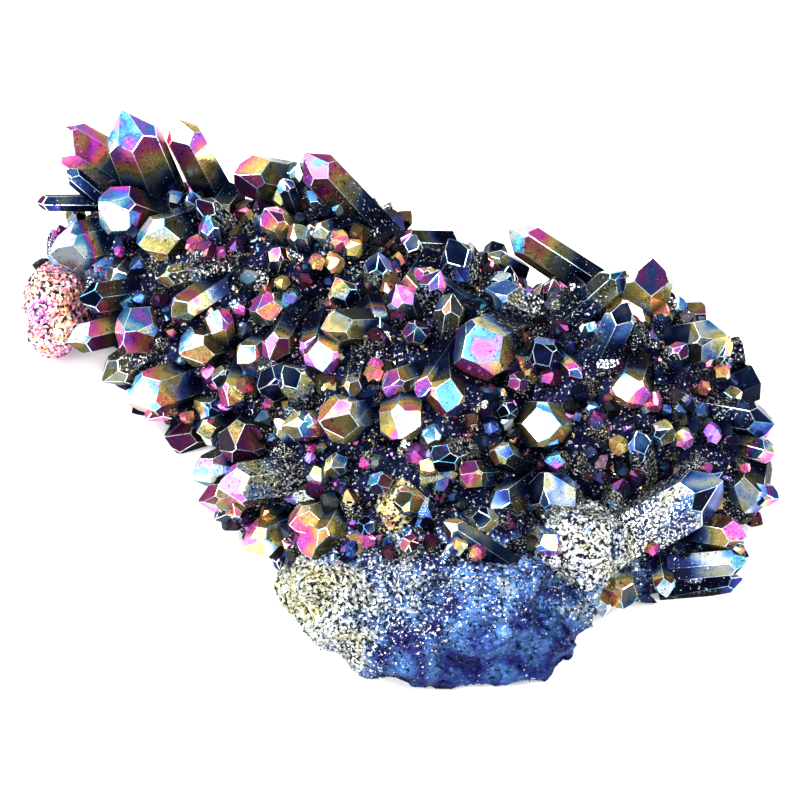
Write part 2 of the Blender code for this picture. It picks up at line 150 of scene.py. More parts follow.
# One row for each point that stands out on the show face. across and up place its tip on the
# face, heading is the way it leans there (0 right, 90 up), lift is its lean towards the eye,
# length is what stands clear of the rock, and width is measured across its flats. The last four
# are looks: the film's places on its scale for the tip faces and for the prism under them, how
# bright the point is painted, which is painted light and shade, and how frosted. A placed point
# has its axis, and how deep its root runs.
Point = namedtuple("Point", "name across up heading lift length width tip body light frost")
Look = namedtuple("Look", "name tip body light frost")
Placed = namedtuple("Placed", "tip axis length width depth look")
POINTS = (
    Point("north west spear", -53.0, 40.8, 150, 20, 14.0, 6.5, 0.92, 0.66, 1.0, 0.2),
    Point("blue cap", -41.7, 43.5, 112, 30, 14.0, 7.8, 0.92, 0.62, 1.0, 0.2),
    Point("gold edge", -34.1, 42.5, 118, 20, 12.5, 5.6, 0.48, 0.66, 1.0, 0.2),
    Point("navy spike", -50.1, 34.5, 140, 15, 7.0, 2.6, 0.16, 0.1, 0.8, 0.3),
    Point("west blade", -54.6, 29.6, 180, 5, 8.5, 2.6, 0.7, 0.1, 0.8, 0.2),
    Point("pale cap", -44.9, 29.4, 160, 50, 9.5, 7.0, 1.0, 0.8, 1.0, 0.2),
    Point("ice face", -52.4, 21.8, 195, 20, 8.0, 6.6, 0.97, 0.95, 1.0, 0.35),
    Point("cyan cheek", -38.9, 23.1, 198, 45, 9.0, 6.6, 0.9, 0.4, 1.0, 0.4),
    Point("red sliver", -28.4, 26.9, 235, 50, 6.5, 4.2, 0.66, 0.4, 0.8, 0.3),
    Point("pink pentagon", -33.9, 12.3, 215, 30, 9.0, 4.2, 0.69, 0.62, 1.0, 0.2),
    Point("teal roof", -40.8, 10.1, 190, 68, 8.0, 6.8, 0.84, 0.45, 1.0, 0.3),
    Point("violet wedge", -49.8, 8.6, 195, 25, 9.5, 5.2, 0.88, 0.7, 1.0, 0.1),
    Point("purple tent", -26.9, 13.4, 95, 50, 7.0, 4.4, 0.76, 0.5, 1.0, 0.3),
    Point("blue pentagon", -32.6, 6.8, 200, 45, 8.0, 5.8, 0.83, 0.45, 1.0, 0.3),
    Point("olive block", -21.3, 13.1, 190, 60, 7.0, 4.8, 0.5, 0.38, 0.8, 0.4),
    Point("magenta blade", -19.2, 5.7, 240, 45, 7.0, 5.0, 0.66, 0.45, 0.8, 0.4),
    Point("orange shield", -11.6, 10.5, 182, 35, 8.5, 5.4, 0.6, 0.34, 1.0, 0.1),
    Point("violet kite", -13.1, 5.6, 255, 50, 7.0, 4.2, 0.71, 0.6, 1.0, 0.2),
    Point("twin violet", -11.3, 4.1, 265, 62, 7.0, 5.6, 0.78, 0.6, 1.0, 0.3),
    Point("gold flag", -17.4, -3.9, 182, 30, 7.0, 4.2, 0.47, 0.9, 1.0, 0.3),
    Point("sunset point", -11.7, -3.2, 188, 50, 8.5, 6.4, 0.66, 0.4, 1.0, 0.2),
    Point("white shield", -0.2, -5.6, 262, 55, 8.0, 6.0, 1.0, 0.6, 1.0, 0.2),
    Point("great point", 9.0, 6.2, 200, 62, 11.0, 8.8, 0.7, 0.4, 1.0, 0.5),
    Point("night point", 6.8, -1.8, 275, 50, 7.0, 5.6, 0.1, 0.45, 1.0, 0.3),
    Point("ruby ledge", 2.6, 0.3, 235, 40, 6.5, 3.8, 0.66, 0.55, 0.7, 0.2),
    Point("magenta ledge", -2.6, 1.7, 200, 45, 7.0, 4.4, 0.7, 0.5, 0.9, 0.2),
    Point("deep purple", 0.8, 12.0, 235, 45, 11.0, 7.4, 0.76, 0.4, 0.8, 0.4),
    Point("rose lath", 2.1, 19.5, 145, 12, 7.0, 2.9, 0.68, 0.45, 1.0, 0.2),
    Point("milk shard", -2.7, 9.6, 290, 50, 6.0, 3.6, 1.0, 1.0, 1.0, 0.1),
    Point("north spear", -14.4, 36.8, 133, 20, 14.0, 6.2, 0.8, 0.6, 0.5, 0.4),
    Point("cyan nub", -15.3, 35.7, 60, 30, 6.0, 3.4, 0.93, 0.5, 1.0, 0.1),
    Point("plum block", -24.9, 33.9, 170, 35, 10.0, 6.4, 0.76, 0.5, 0.6, 0.1),
    Point("ice chip", -17.4, 33.0, 110, 40, 5.5, 2.6, 0.97, 0.2, 1.0, 0.2),
    Point("scarlet chip", -20.1, 28.4, 130, 40, 6.5, 4.2, 0.64, 0.5, 0.9, 0.2),
    Point("pink ridge", -8.7, 24.9, 190, 25, 8.0, 3.8, 0.72, 0.36, 1.0, 0.2),
    Point("olive chip", -13.1, 24.3, 200, 45, 5.2, 3.2, 0.36, 0.3, 0.9, 0.4),
    Point("maroon block", -1.2, 23.0, 178, 30, 8.5, 4.8, 0.64, 0.45, 0.5, 0.2),
    Point("sugar block", 7.2, 24.0, 110, 30, 6.5, 5.4, 0.12, 0.14, 0.8, 0.9),
    Point("amber nub", 13.1, 21.9, 150, 30, 5.5, 3.0, 0.5, 0.42, 1.0, 0.2),
    Point("violet nub", 13.1, 18.6, 250, 50, 5.0, 3.2, 0.73, 0.44, 1.0, 0.3),
    Point("crest spear", 16.1, 25.4, 147, 15, 13.0, 5.0, 0.9, 0.64, 1.0, 0.3),
    Point("east crown", 37.1, 21.0, 75, 40, 10.0, 7.4, 0.76, 0.48, 1.0, 0.1),
    Point("cream lath", 33.3, 19.1, 42, 10, 10.0, 4.4, 1.0, 0.42, 1.0, 0.5),
    Point("gold and pink", 32.3, 10.7, 238, 58, 8.5, 6.6, 0.69, 0.45, 1.0, 0.4),
    Point("olive crown", 48.0, 9.3, 10, 40, 9.0, 6.0, 0.42, 0.3, 0.7, 0.1),
    Point("steel log", 38.9, -2.9, 203, 20, 14.0, 6.0, 0.3, 0.19, 1.0, 0.1),
    Point("orange gem", 33.0, -0.3, 250, 60, 7.8, 5.2, 0.52, 0.5, 1.0, 0.3),
    Point("ruby shard", 26.6, 3.1, 315, 35, 6.0, 2.6, 0.64, 0.6, 1.0, 0.1),
    Point("five face", 23.4, -3.6, 0, 65, 8.5, 6.8, 0.66, 0.45, 1.0, 0.3),
    Point("lemon nub", 13.7, -7.2, 150, 55, 5.5, 3.4, 0.45, 0.35, 1.0, 0.4),
    Point("grey fin", 34.5, -4.5, 100, 45, 6.0, 4.0, 0.26, 0.2, 0.9, 0.9),
    Point("silver keel", 47.0, -11.7, 30, 20, 16.0, 8.2, 0.18, 0.27, 1.0, 0.9),
    Point("khaki gem", 50.5, -16.5, 260, 50, 7.5, 5.8, 0.42, 0.38, 1.0, 0.2),
    Point("blue prow", 50.7, -20.0, 350, 15, 8.8, 4.8, 0.84, 0.42, 1.0, 0.2),
    Point("pearl lath", 50.7, -23.4, 5, 8, 11.0, 3.8, 1.0, 0.22, 1.0, 0.3),
    Point("navy foot", 50.3, -26.1, 10, 5, 8.0, 3.2, 0.12, 0.1, 0.8, 0.4),
    Point("cream foot", 32.6, -30.5, 275, 30, 6.5, 4.4, 0.43, 0.36, 1.0, 0.4),
    Point("silver chunk", 21.0, -10.5, 110, 45, 9.0, 7.5, 0.28, 0.25, 1.0, 1.0),
    Point("grey horn", 13.2, -15.9, 215, 40, 6.5, 4.4, 0.34, 0.25, 0.8, 0.3),
    Point("amber gem", 8.9, -10.8, 180, 60, 6.5, 4.4, 0.5, 0.42, 0.9, 0.5),
    Point("blue lath", 6.2, -17.6, 147, 10, 9.5, 3.3, 0.56, 0.22, 1.0, 0.1),
    Point("brown gem", -12.9, -23.1, 240, 45, 8.5, 6.4, 0.62, 0.5, 0.8, 0.2),
    Point("copper gem", -16.1, -18.2, 195, 42, 7.5, 5.2, 0.52, 0.45, 0.6, 0.2),
    Point("maroon shield", -24.0, -7.2, 230, 72, 7.5, 7.0, 0.62, 0.5, 0.3, 0.2),
    Point("violet prow", -26.6, -12.8, 187, 25, 12.0, 6.0, 0.72, 0.3, 0.9, 0.8),
    Point("pale rim", -30.6, -11.7, 205, 25, 8.0, 4.8, 0.98, 0.2, 1.0, 0.3),
    Point("lilac prow", -29.7, -15.0, 192, 15, 8.0, 4.8, 0.69, 0.42, 1.0, 0.2),
    Point("cream chip", -27.3, -17.7, 225, 15, 6.0, 3.2, 0.44, 0.4, 1.0, 0.3),
    Point("south west gem", -23.0, -21.8, 205, 25, 8.0, 5.6, 0.67, 0.42, 1.0, 0.1),
    Point("navy bar", -17.6, -25.1, 268, 20, 6.0, 2.2, 0.1, 0.12, 1.0, 0.2),
    Point("ice bar", -15.6, -24.2, 285, 20, 5.5, 2.2, 1.0, 0.24, 1.0, 0.2),
    Point("cyan prow", -40.4, -0.3, 200, 30, 10.0, 6.4, 0.92, 0.6, 1.0, 0.2),
    Point("shell chip", -44.4, 2.7, 215, 20, 8.0, 4.8, 0.4, 0.3, 1.0, 0.8),
    Point("shell rim", -37.8, -3.0, 220, 15, 6.5, 4.4, 0.66, 0.45, 1.0, 0.7),
    Point("rim gem", -35.7, -8.4, 200, 20, 8.0, 5.6, 0.68, 0.43, 1.0, 0.4),
    # This point is painted dark by its low light: painted shade.
    Point("soot block", -35.1, -5.6, 185, 35, 8.0, 5.4, 0.62, 0.6, 0.15, 0.2),
    Point("cream tooth", -30.0, -4.8, 200, 40, 5.5, 3.2, 0.3, 0.4, 1.0, 0.2),
    Point("red tooth", -25.2, -0.9, 250, 50, 6.5, 4.6, 0.64, 0.5, 0.9, 0.2),
    Point("gold tooth", -24.0, 5.4, 215, 40, 6.0, 4.0, 0.47, 0.4, 1.0, 0.3),
    Point("long lath", -13.7, 12.4, 222, 5, 11.0, 2.8, 0.66, 0.45, 0.8, 0.6),
    Point("silver lath", 12.6, 16.5, 150, 20, 9.0, 5.6, 0.26, 0.2, 1.0, 0.9),
    Point("blue chip", 19.7, 8.4, 130, 50, 6.5, 4.6, 0.13, 0.12, 1.0, 0.2),
    Point("navy log", 40.8, 5.1, 190, 10, 9.0, 4.6, 0.1, 0.12, 0.8, 0.6),
    Point("east knob", 55.0, -3.6, 350, 20, 9.0, 5.0, 0.12, 0.1, 0.7, 0.6),
    Point("east chip", 54.9, -8.0, 345, 30, 6.5, 3.2, 0.43, 0.9, 1.0, 0.2),
    Point("east tooth", 55.6, -14.5, 345, 20, 6.6, 3.4, 0.84, 0.2, 1.0, 0.3),
    Point("foot chip", 38.9, -28.8, 280, 20, 4.8, 3.2, 0.84, 0.5, 1.0, 0.2),
    Point("foot tooth", 29.6, -31.8, 265, 25, 5.2, 3.0, 1.0, 0.5, 1.0, 0.2),
    Point("cream bar", -36.3, 17.9, 190, 15, 8.0, 3.4, 0.43, 0.4, 1.0, 0.8),
    Point("salt chip", -43.2, 17.6, 230, 45, 5.0, 3.0, 1.0, 1.0, 1.0, 0.2),
    # This point's low light is painted shade, over a navy tip.
    Point("soot bar", -48.0, 15.0, 188, 20, 8.5, 4.6, 0.1, 0.6, 0.2, 0.3),
    Point("bronze bar", -7.2, 0.3, 258, 50, 5.5, 3.2, 0.52, 0.42, 0.8, 0.6),
    Point("teal chip", -13.4, -2.1, 100, 55, 5.0, 2.6, 0.97, 0.4, 1.0, 0.2),
    Point("slate block", 4.8, -9.0, 200, 55, 7.0, 4.6, 0.14, 0.2, 0.7, 0.9),
    Point("ink gem", -20.7, 1.5, 200, 50, 7.0, 5.0, 0.06, 0.1, 0.9, 0.3),
    Point("druse nub", -27.8, 3.0, 190, 50, 5.5, 3.4, 0.2, 0.3, 0.9, 1.0),
)

# Tip faces that have a colour of their own: the way each looks on the show face (0 right, 90 up),
# its place on the film's scale and how bright it is painted, a painted light and shade for what the
# face mirrors. The other faces of a tip go with the nearest.
FACETS = {
    "north west spear": ((190, 0.93, 1), (250, 0.57, 1), (60, 0.8, 1), (330, 0.5, 0.8)),
    "blue cap": ((200, 0.93, 1), (330, 0.62, 0.9), (60, 0.84, 0.9)),
    "gold edge": ((40, 0.45, 1), (200, 0.68, 0.8), (300, 0.6, 0.8)),
    "pale cap": ((200, 0.97, 1), (300, 1.0, 1), (80, 0.88, 0.8)),
    "cyan cheek": ((150, 0.94, 1), (20, 0.71, 0.35), (280, 0.54, 0.9)),
    "teal roof": ((110, 0.89, 0.6), (50, 0.08, 0.8), (200, 0.68, 1), (290, 0.62, 0.3), (0, 0.4, 0.8)),
    "violet wedge": ((120, 0.87, 1), (300, 0.52, 0.15)),
    "purple tent": ((180, 0.96, 1), (330, 0.73, 0.8)),
    "blue pentagon": ((140, 0.84, 1), (320, 0.64, 0.9), (270, 0.46, 0.8)),
    "olive block": ((0, 0.43, 0.9), (200, 0.37, 0.3), (130, 0.68, 0.8)),
    "magenta blade": ((170, 0.67, 1), (0, 0.55, 0.12)),
    "violet kite": ((200, 0.72, 1), (350, 0.55, 0.2)),
    "twin violet": ((180, 0.78, 1), (20, 0.75, 1), (270, 0.5, 0.15)),
    "sunset point": ((110, 0.58, 0.8), (60, 0.52, 0.7), (250, 0.5, 1), (180, 0.7, 0.8), (320, 0.55, 0.2)),
    "white shield": ((120, 1.0, 1), (60, 1.0, 1), (210, 0.68, 1), (350, 0.43, 1)),
    "great point": ((60, 0.83, 0.6), (0, 0.71, 0.8), (270, 0.67, 1), (150, 0.9, 0.35), (200, 0.7, 0.9)),
    "night point": ((110, 0.1, 0.9), (30, 0.87, 0.9), (330, 0.45, 1), (230, 0.5, 0.5)),
    "deep purple": ((130, 0.76, 0.2), (180, 0.75, 0.8), (20, 0.38, 0.5), (300, 0.32, 0.4)),
    "east crown": ((220, 0.62, 1), (260, 0.5, 1), (330, 0.74, 0.2), (20, 0.46, 0.8)),
    "gold and pink": ((60, 0.69, 1), (150, 0.47, 0.9), (330, 0.5, 0.15)),
    "olive crown": ((200, 0.25, 0.12), (60, 0.44, 0.9), (330, 0.4, 0.8)),
    "steel log": ((130, 1.0, 1), (280, 0.3, 0.15)),
    "orange gem": ((120, 0.45, 0.9), (0, 0.55, 0.9), (270, 0.65, 0.9)),
    "five face": ((100, 0.66, 0.9), (170, 1.0, 1), (200, 0.69, 1), (270, 0.54, 1), (0, 0.36, 0.6)),
    "brown gem": ((120, 0.52, 1), (200, 0.62, 0.9), (340, 0.52, 0.1)),
    "copper gem": ((60, 0.55, 0.1), (180, 0.5, 0.8), (300, 0.5, 0.9)),
    "violet prow": ((150, 0.73, 0.9), (250, 0.7, 0.8), (30, 0.5, 0.2)),
    "silver keel": ((60, 0.22, 0.9), (0, 0.13, 1), (200, 0.34, 0.1)),
    "south west gem": ((120, 0.68, 1), (290, 0.44, 1)),
    "cyan prow": ((140, 0.93, 1), (60, 0.75, 0.7), (300, 0.58, 0.5)),
    "plum block": ((90, 0.69, 1), (250, 0.73, 0.12), (0, 0.5, 0.4)),
    "crest spear": ((190, 0.93, 1), (60, 0.67, 1), (300, 0.12, 0.5)),
    "north spear": ((120, 0.7, 0.4), (220, 0.82, 0.3), (20, 0.5, 0.6)),
}

# Smaller points fill the rest of the crown and the hidden flanks. They keep off the bare rock, and
# inside the cluster's edge, which is given across and up the show face.
FILLER_TRIES = 6000
FILLER_MOST = 60
FILLER_WIDTHS = (2.6, 4.8)
FILLER_STANDS = (1.1, 1.8)
FILLER_SPACING = 0.5
FILLER_LEAN = 0.35
FILLER_RISE = 0.35
FILLER_LOWEST = 3.5
EDGE = (
    (-56, 14), (-53, 8), (-46, 3), (-38, -4), (-35, -10), (-28, -17), (-21, -25), (-15, -30),
    (-10, -36), (0, -41), (9, -43), (20, -40), (28, -35), (36, -31), (50, -27), (51, -20),
    (56, -12), (55, -5), (50, 2), (48, 10), (42, 19), (36, 21), (30, 19), (24, 20), (12, 21),
    (6, 24), (-3, 26), (-14, 36), (-23, 35), (-28, 33), (-33, 41), (-42, 42), (-53, 40),
    (-50, 33), (-54, 28), (-52, 20),
)
FILLER_TIPS = (0.93, 0.84, 0.76, 0.7, 0.65, 0.62, 0.52, 0.45, 0.36, 0.2)
FILLER_BODIES = (0.12, 0.4)
# How bright a filler point is painted: painted light and shade.
FILLER_LIGHTS = (1.0, 1.0, 0.7, 0.35)
FILLER_FROSTS = (0.3, 0.9)

# How a point is painted: how far the film may differ between its faces and within one, how bright
# its faces are painted beside each other, a painted light and shade, and what film and painted
# shade it sinks to at its root. LISTED_DRIFT is the share of that difference for a listed face. The
# bevelled edges are painted as glints in the palest film, a painted highlight whose painted light
# fades to shade towards the root, and a prism is CLEAN_SHARE less frosted under its tip. Each
# point's draws are seeded by its number, PAINT_STRIDE apart from PAINT_START on.
TIP_DRIFT = 0.13
BODY_DRIFT = 0.07
FACE_DRIFT = (-0.3, 0.08)
TIP_LIGHTS = (1.0, 1.0, 0.7, 0.3, 0.12)
BODY_LIGHTS = (0.7, 0.35, 0.12)
ROOT_FILM = 0.1
ROOT_LIGHT = 0.04
TIP_FROST = 0.1
LISTED_DRIFT = 0.2
GLINT_FILM = 1.0
GLINT_FADE = 0.95
GLINT_FROST = 0.2
CLEAN_SHARE = 0.3
PAINT_STRIDE = 17
PAINT_START = 3

# Faces of a point that look further up its axis than this are on its tip. The rings that carry the
# prism's changing film are cut at these shares of the height that the tip leaves over.
LEAST_TIP_SLOPE = 0.25
RING_SHARES = (0.1, 0.3, 0.5, 0.7)
RING_TIP_SHARE = 0.5

# Small crystals: how long and how deep one is for its width, how far it leans from the rock's skin
# and how far down it may point, the least share of the widest one, and their looks.
PATTERNS = 8
SMALL_SEED = 5
SMALL_STANDS = (0.9, 1.5)
SMALL_SINK = 0.35
SMALL_LEAN = 0.5
SMALL_BODIES = (0.06, 0.3)
SMALL_TIPS = (0.12, 0.2, 0.3, 0.44, 0.52, 0.6, 0.65, 0.72, 0.84, 0.93)
# How bright a small crystal or grain is painted: painted light and shade.
SMALL_LIGHTS = (1.0, 0.5, 0.12, 0.05, 0.02)
SMALL_LEAST = 0.4
SMALL_DRIFT = 0.07
SMALL_TIP_FROST = 0.3
# The sides of a small crystal or grain are painted darker than its tip by BODY_SHADE: painted shade.
BODY_SHADE = 0.25
LOWEST_AXIS = -0.2

# Grains are squat pyramids, one unit wide until they are placed: their sides, tops and heights.
GRAIN_SEED = 6
GRAIN_SIDES = (4, 5, 6)
GRAIN_TOPS = (0, 0.2)
GRAIN_HEIGHTS = (0.6, 1.1)
GRAIN_TIP_FROST = 0.5

# Crust is grains on the bare rock and the knobs. It grows where the rock is barer than CRUST_FROM,
# with a wavy rim, and denser where there is more frost.
CRUST_SEED = 7
CRUST_SHARES = (0.35, 0.8)
CRUST_FROM = 0.3
CRUST_WARP = 4
CRUST_LEAN = 0.6
CRUST_LEAST = 0.1
# CRUST_LIGHTS scale how bright each crust grain is painted: painted light and shade.
CRUST_LIGHTS = (1.0, 1.0, 0.5, 0.08)
CRUST_TIP_FROST = 1
KNOB_REACH = 1.2

# Nothing small stands inside a large point: within this share of its width, down to this depth.
CORE_SHARE = 0.48
CORE_DEPTH = 4

# Added to a drawn number before its logarithm is taken, which has none at zero.
LEAST_CHANCE = 1e-9

# The finish of each kind of skin: how far the film drifts over it, how wide its grain is, how high
# its bumps are, and its least and most roughness.
Finish = namedtuple("Finish", "patchiness grain bump smoothest roughest")
ROCK_FINISH = Finish(0.08, 0.5, 0.3, 0.2, 0.5)
POINT_FINISH = Finish(0.13, 0.4, 0.05, 0.08, 0.3)
SMALL_FINISH = Finish(0.1, 0.3, 0.03, 0.1, 0.3)

# What the finishes share: how much of the light the metal mirrors, how wide the film's patches
# are, how dense the fine growth lines across a prism are, and how frost raises the bumps. Noise
# lies mostly between NOISE_LOW and NOISE_HIGH.
METAL_SHARE = 0.8
PATCH_SIZE = 4
STRIPES_PER_MM = 2.2
FROST_RANGE = (0.1, 0.9)
FROST_BUMPS = (0.12, 1.0)
NOISE_LOW = 0.3
NOISE_HIGH = 0.7

# Silver specks, partly silver film and partly painted glints, and dark pits, painted shade in the
# crevice shade colour: how far frost helps them to show, and the level of noise where they start.
# Pits are wider than specks, and both have a soft edge.
SPECKS = (0.26, 0.72)
PITS = (0.17, 0.64)
PIT_SIZE = 1.25
SPECK_EDGE = 0.05

# The film's colours from thin to thick, and their places on its scale.
FILM_SCALE = (
    ("ink", 0.0),
    ("navy", 0.08),
    ("steel", 0.18),
    ("silver", 0.28),
    ("olive", 0.36),
    ("gold", 0.45),
    ("orange", 0.54),
    ("magenta", 0.64),
    ("purple", 0.73),
    ("blue", 0.83),
    ("cyan", 0.92),
    ("ice", 1.0),
)

# Where the rock is coloured its own way: the middle of the patch on the show face, its radius,
# its place on the film's scale, how light it is painted, which is painted light and shade, and how
# much of it is frosted with silver. The patches' rims are wavy. Rock away from them is plain, and so
# is all of it behind the show face; plain rock is painted dark, a painted shade for the rock down
# between the points.
Patch = namedtuple("Patch", "name across up radius film light frost")
PATCHES = (
    Patch("left ridge", -13, -29, 5, 0.4, 0.8, 0.8),
    Patch("ridge foot", -10, -36, 5, 0.3, 0.65, 0.8),
    Patch("centre crust", -2, -28, 6, 0.22, 0.5, 0.8),
    Patch("lower crust", 4, -33, 4, 0.16, 0.4, 0.75),
    Patch("steel slope", 14, -28, 6, 0.19, 0.7, 0.65),
    Patch("indigo foot", 8, -38, 7, 0.08, 0.55, 0.15),
    Patch("blue toe", 21, -34, 6, 0.09, 0.5, 0.2),
    Patch("right foot", 28, -30, 5, 0.24, 0.7, 0.7),
    Patch("ice patch", -50, 22, 4, 0.24, 1.0, 0.4),
)
PLAIN_ROCK = Patch("plain rock", 0, 0, 0, 0.05, 0.07, 0.45)
PLAIN_WEIGHT = 0.1
BEHIND = -9
BEHIND_BLEND = 6
WAVE_SIZE = 5
WAVE_REACH = 2.5
# The knobs' own looks; their light is painted light and shade.
NODULE_PATCHES = {
    "left knob": Patch("left knob", 0, 0, 0, 0.6, 1.0, 0.8),
    "flank nodule": Patch("flank nodule", 0, 0, 0, 0.26, 0.6, 0.9),
    "cream knob": Patch("cream knob", 0, 0, 0, 0.43, 1.0, 0.75),
}

# The stage: the floor's half size in metres, and the lights. Each light has its direction from the
# cluster, its distance and its sides in metres, and its power.
FLOOR_SIZE = 3
FLOOR_ROUGHNESS = 0.8
BACKDROP_STRENGTH = 0.4
Lamp = namedtuple("Lamp", "name way distance size power")
LAMPS = (
    Lamp("key", (-0.5, 0.2, 1.0), 0.7, (0.55, 0.55), 13),
    Lamp("right strip", (1.0, -0.2, 0.7), 0.6, (0.12, 0.5), 4),
    Lamp("left strip", (-1.0, -0.5, 0.5), 0.6, (0.12, 0.5), 3),
    Lamp("front card", (0.1, -1.0, 0.9), 0.8, (0.3, 0.1), 3),
)


def lump_gap(spot):
    """How far spot is outside the nearest lump, below zero inside it."""
    gaps = []
    for lump in LUMPS:
        scaled = Vector(((spot[i] - lump.centre[i]) / lump.radii[i] for i in range(3)))
        gaps.append((scaled.length - 1) * min(lump.radii))
    return min(gaps)


def first_touch(start, way, reach):
    """The first spot of the lumps along a line, or the nearest spot to them where it misses."""
    gone, best, least = 0, None, math.inf
    while gone < reach and least > 0:
        spot = start + way * gone
        gap = lump_gap(spot)
        if gap < least:
            best, least = spot, gap
        gone += max(gap, FINEST_STEP)
    return best


def bareness(spot):
    """How bare a spot of the matrix is: 0 under the crystals, 1 well down the front flank."""
    across, up = spot.dot(ACROSS), spot.dot(UP)
    if not BARE_FROM < across < BARE_TO:
        return 0
    return min(max((BARE_TOP - up) / BARE_BLEND, 0), 1)


def relief(spot):
    """The humps and ribs of bare rock at a spot."""
    humps = noise.noise(spot / HUMP_SIZE) * HUMP_HEIGHT
    ribs = (RIB_CREST - abs(noise.noise(spot / RIB_SIZE + RIB_SHIFT))) * RIB_HEIGHT
    return humps + ribs


def swell(spot):
    """How far the matrix stands out of its lumps."""
    bare = bareness(spot)
    share = CROWN_SWELL + (1 - CROWN_SWELL) * bare
    return relief(spot) * share - CROWN_DROP * (1 - bare)


def inside_edge(spot):
    """Whether a spot is inside the cluster's edge, seen from in front of the show face."""
    across, up = spot.dot(ACROSS), spot.dot(UP)
    inside = False
    for (a, b), (c, d) in zip(EDGE, EDGE[1:] + EDGE[:1]):
        if (b > up) != (d > up) and across < a + (c - a) * (up - b) / (d - b):
            inside = not inside
    return inside


def matrix_spot(way):
    """The rock's surface in one direction from its core."""
    way = Vector((way[i] * MATRIX_REACH[i] for i in range(3)))
    reach = way.length * REACH_MARGIN
    way.normalize()
    spot = first_touch(MATRIX_CORE + way * reach, -way, reach)
    return spot + way * swell(spot)


def root_depth(root, axis):
    """How far a point's root runs on below the surface: to where it is buried deepest."""
    least, most = ROOT_DEPTHS
    depths = [least + i * ROOT_STEP for i in range(int((most - least) / ROOT_STEP) + 1)]
    return min(depths, key=lambda depth: lump_gap(root - axis * depth))


def show_face_points():
    """Every listed point, with its root set where it meets the lumps."""
    placed = []
    for point in POINTS:
        heading, lift = math.radians(point.heading), math.radians(point.lift)
        flat = ACROSS * math.cos(heading) + UP * math.sin(heading)
        axis = (flat * math.cos(lift) + TOWARD * math.sin(lift)).normalized()
        tip = ACROSS * point.across + UP * point.up
        root = tip - axis * point.length
        root = first_touch(root + TOWARD * SIGHT_REACH, -TOWARD, 2 * SIGHT_REACH)
        root -= TOWARD * SINK * point.width
        depth = root_depth(root, axis)
        look = Look(point.name, point.tip, point.body, point.light, point.frost)
        tip = root + axis * point.length
        placed.append(Placed(tip, axis, point.length, point.width, depth, look))
    return placed


def filler_points(taken):
    """Smaller points scattered over the lumps, clear of those already standing there."""
    draw = random.Random(FIRST_SEED)
    paint = random.Random(FIRST_SEED)
    fillers = []
    for _ in range(FILLER_TRIES):
        way = Vector((draw.gauss(0, 1), draw.gauss(0, 1), draw.gauss(0, 1))).normalized()
        width = draw.uniform(*FILLER_WIDTHS)
        length = width * draw.uniform(*FILLER_STANDS)
        lean = Vector((draw.gauss(0, 1), draw.gauss(0, 1), draw.gauss(0, 1))) * FILLER_LEAN
        root = matrix_spot(way)
        if root.z < FILLER_LOWEST or bareness(root):
            continue
        rise = Vector((0, 0, FILLER_RISE))
        axis = ((root - MATRIX_CORE).normalized() + rise + lean).normalized()
        tip = root + axis * length
        if not inside_edge(tip):
            continue
        crowded = any(
            min((tip - p.tip).length, (root - p.tip + p.axis * p.length).length)
            < (width + p.width) * FILLER_SPACING
            for p in taken + fillers
        )
        if not crowded:
            look = Look(
                "filler",
                paint.choice(FILLER_TIPS),
                paint.uniform(*FILLER_BODIES),
                paint.choice(FILLER_LIGHTS),
                paint.uniform(*FILLER_FROSTS),
            )
            depth = root_depth(root, axis)
            fillers.append(Placed(tip, axis, length, width, depth, look))
        if len(fillers) == FILLER_MOST:
            break
    return fillers


def lump_gaps(spots):
    """lump_gap for many spots at once, given and returned as arrays."""
    gaps = []
    for lump in LUMPS:
        scaled = (spots - np.array(lump.centre)) / np.array(lump.radii)
        gaps.append((np.linalg.norm(scaled, axis=1) - 1) * min(lump.radii))
    return np.min(gaps, axis=0)


def matrix_spots(ways):
    """matrix_spot for many directions at once, given and returned as arrays."""
    ways = ways * np.array(MATRIX_REACH)
    lengths = np.linalg.norm(ways, axis=1)
    reaches = lengths * REACH_MARGIN
    ways /= lengths[:, None]
    starts = np.array(MATRIX_CORE) + ways * reaches[:, None]
    best = starts.copy()
    least = np.full(len(ways), np.inf)
    gone = np.zeros(len(ways))
    going = np.arange(len(ways))
    while len(going):
        spots = starts[going] - ways[going] * gone[going, None]
        gaps = lump_gaps(spots)
        nearer = gaps < least[going]
        best[going[nearer]] = spots[nearer]
        least[going[nearer]] = gaps[nearer]
        gone[going] += np.maximum(gaps, FINEST_STEP)
        going = going[(gone[going] < reaches[going]) & (least[going] > 0)]
    swells = np.array([swell(Vector(spot)) for spot in best])
    return best + ways * swells[:, None]


def smooth_step(low, high, value):
    """0 below low, 1 above high, and smooth between them."""
    share = min(max((value - low) / (high - low), 0), 1)
    return share * share * (3 - 2 * share)


def add_piece(name, mesh, material):
    """A finished piece of the cluster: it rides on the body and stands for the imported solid."""
    piece = bpy.data.objects.new(name, mesh)
    bpy.context.scene.collection.objects.link(piece)
    mesh.materials.append(material)
    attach(piece, BODY)
    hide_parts(NODE)
    return piece


def put_values(mesh, name, domain, values):
    """Store one number for each corner, face or vertex of a mesh, for its material to read."""
    attribute = mesh.attributes.new(name, "FLOAT", domain)
    attribute.data.foreach_set("value", np.asarray(values, np.float32))


def film_ramp(nodes, film):
    """The colours that the film takes as it grows thicker, as a colour ramp."""
    ramp = nodes.new("ShaderNodeValToRGB")
    ramp.color_ramp.interpolation = "LINEAR"
    stops = ramp.color_ramp.elements
    while len(stops) < len(FILM_SCALE):
        stops.new(0.5)
    for stop, (name, place) in zip(stops, FILM_SCALE):
        stop.position = place
        stop.color = (*getattr(film, name), 1)
    return ramp


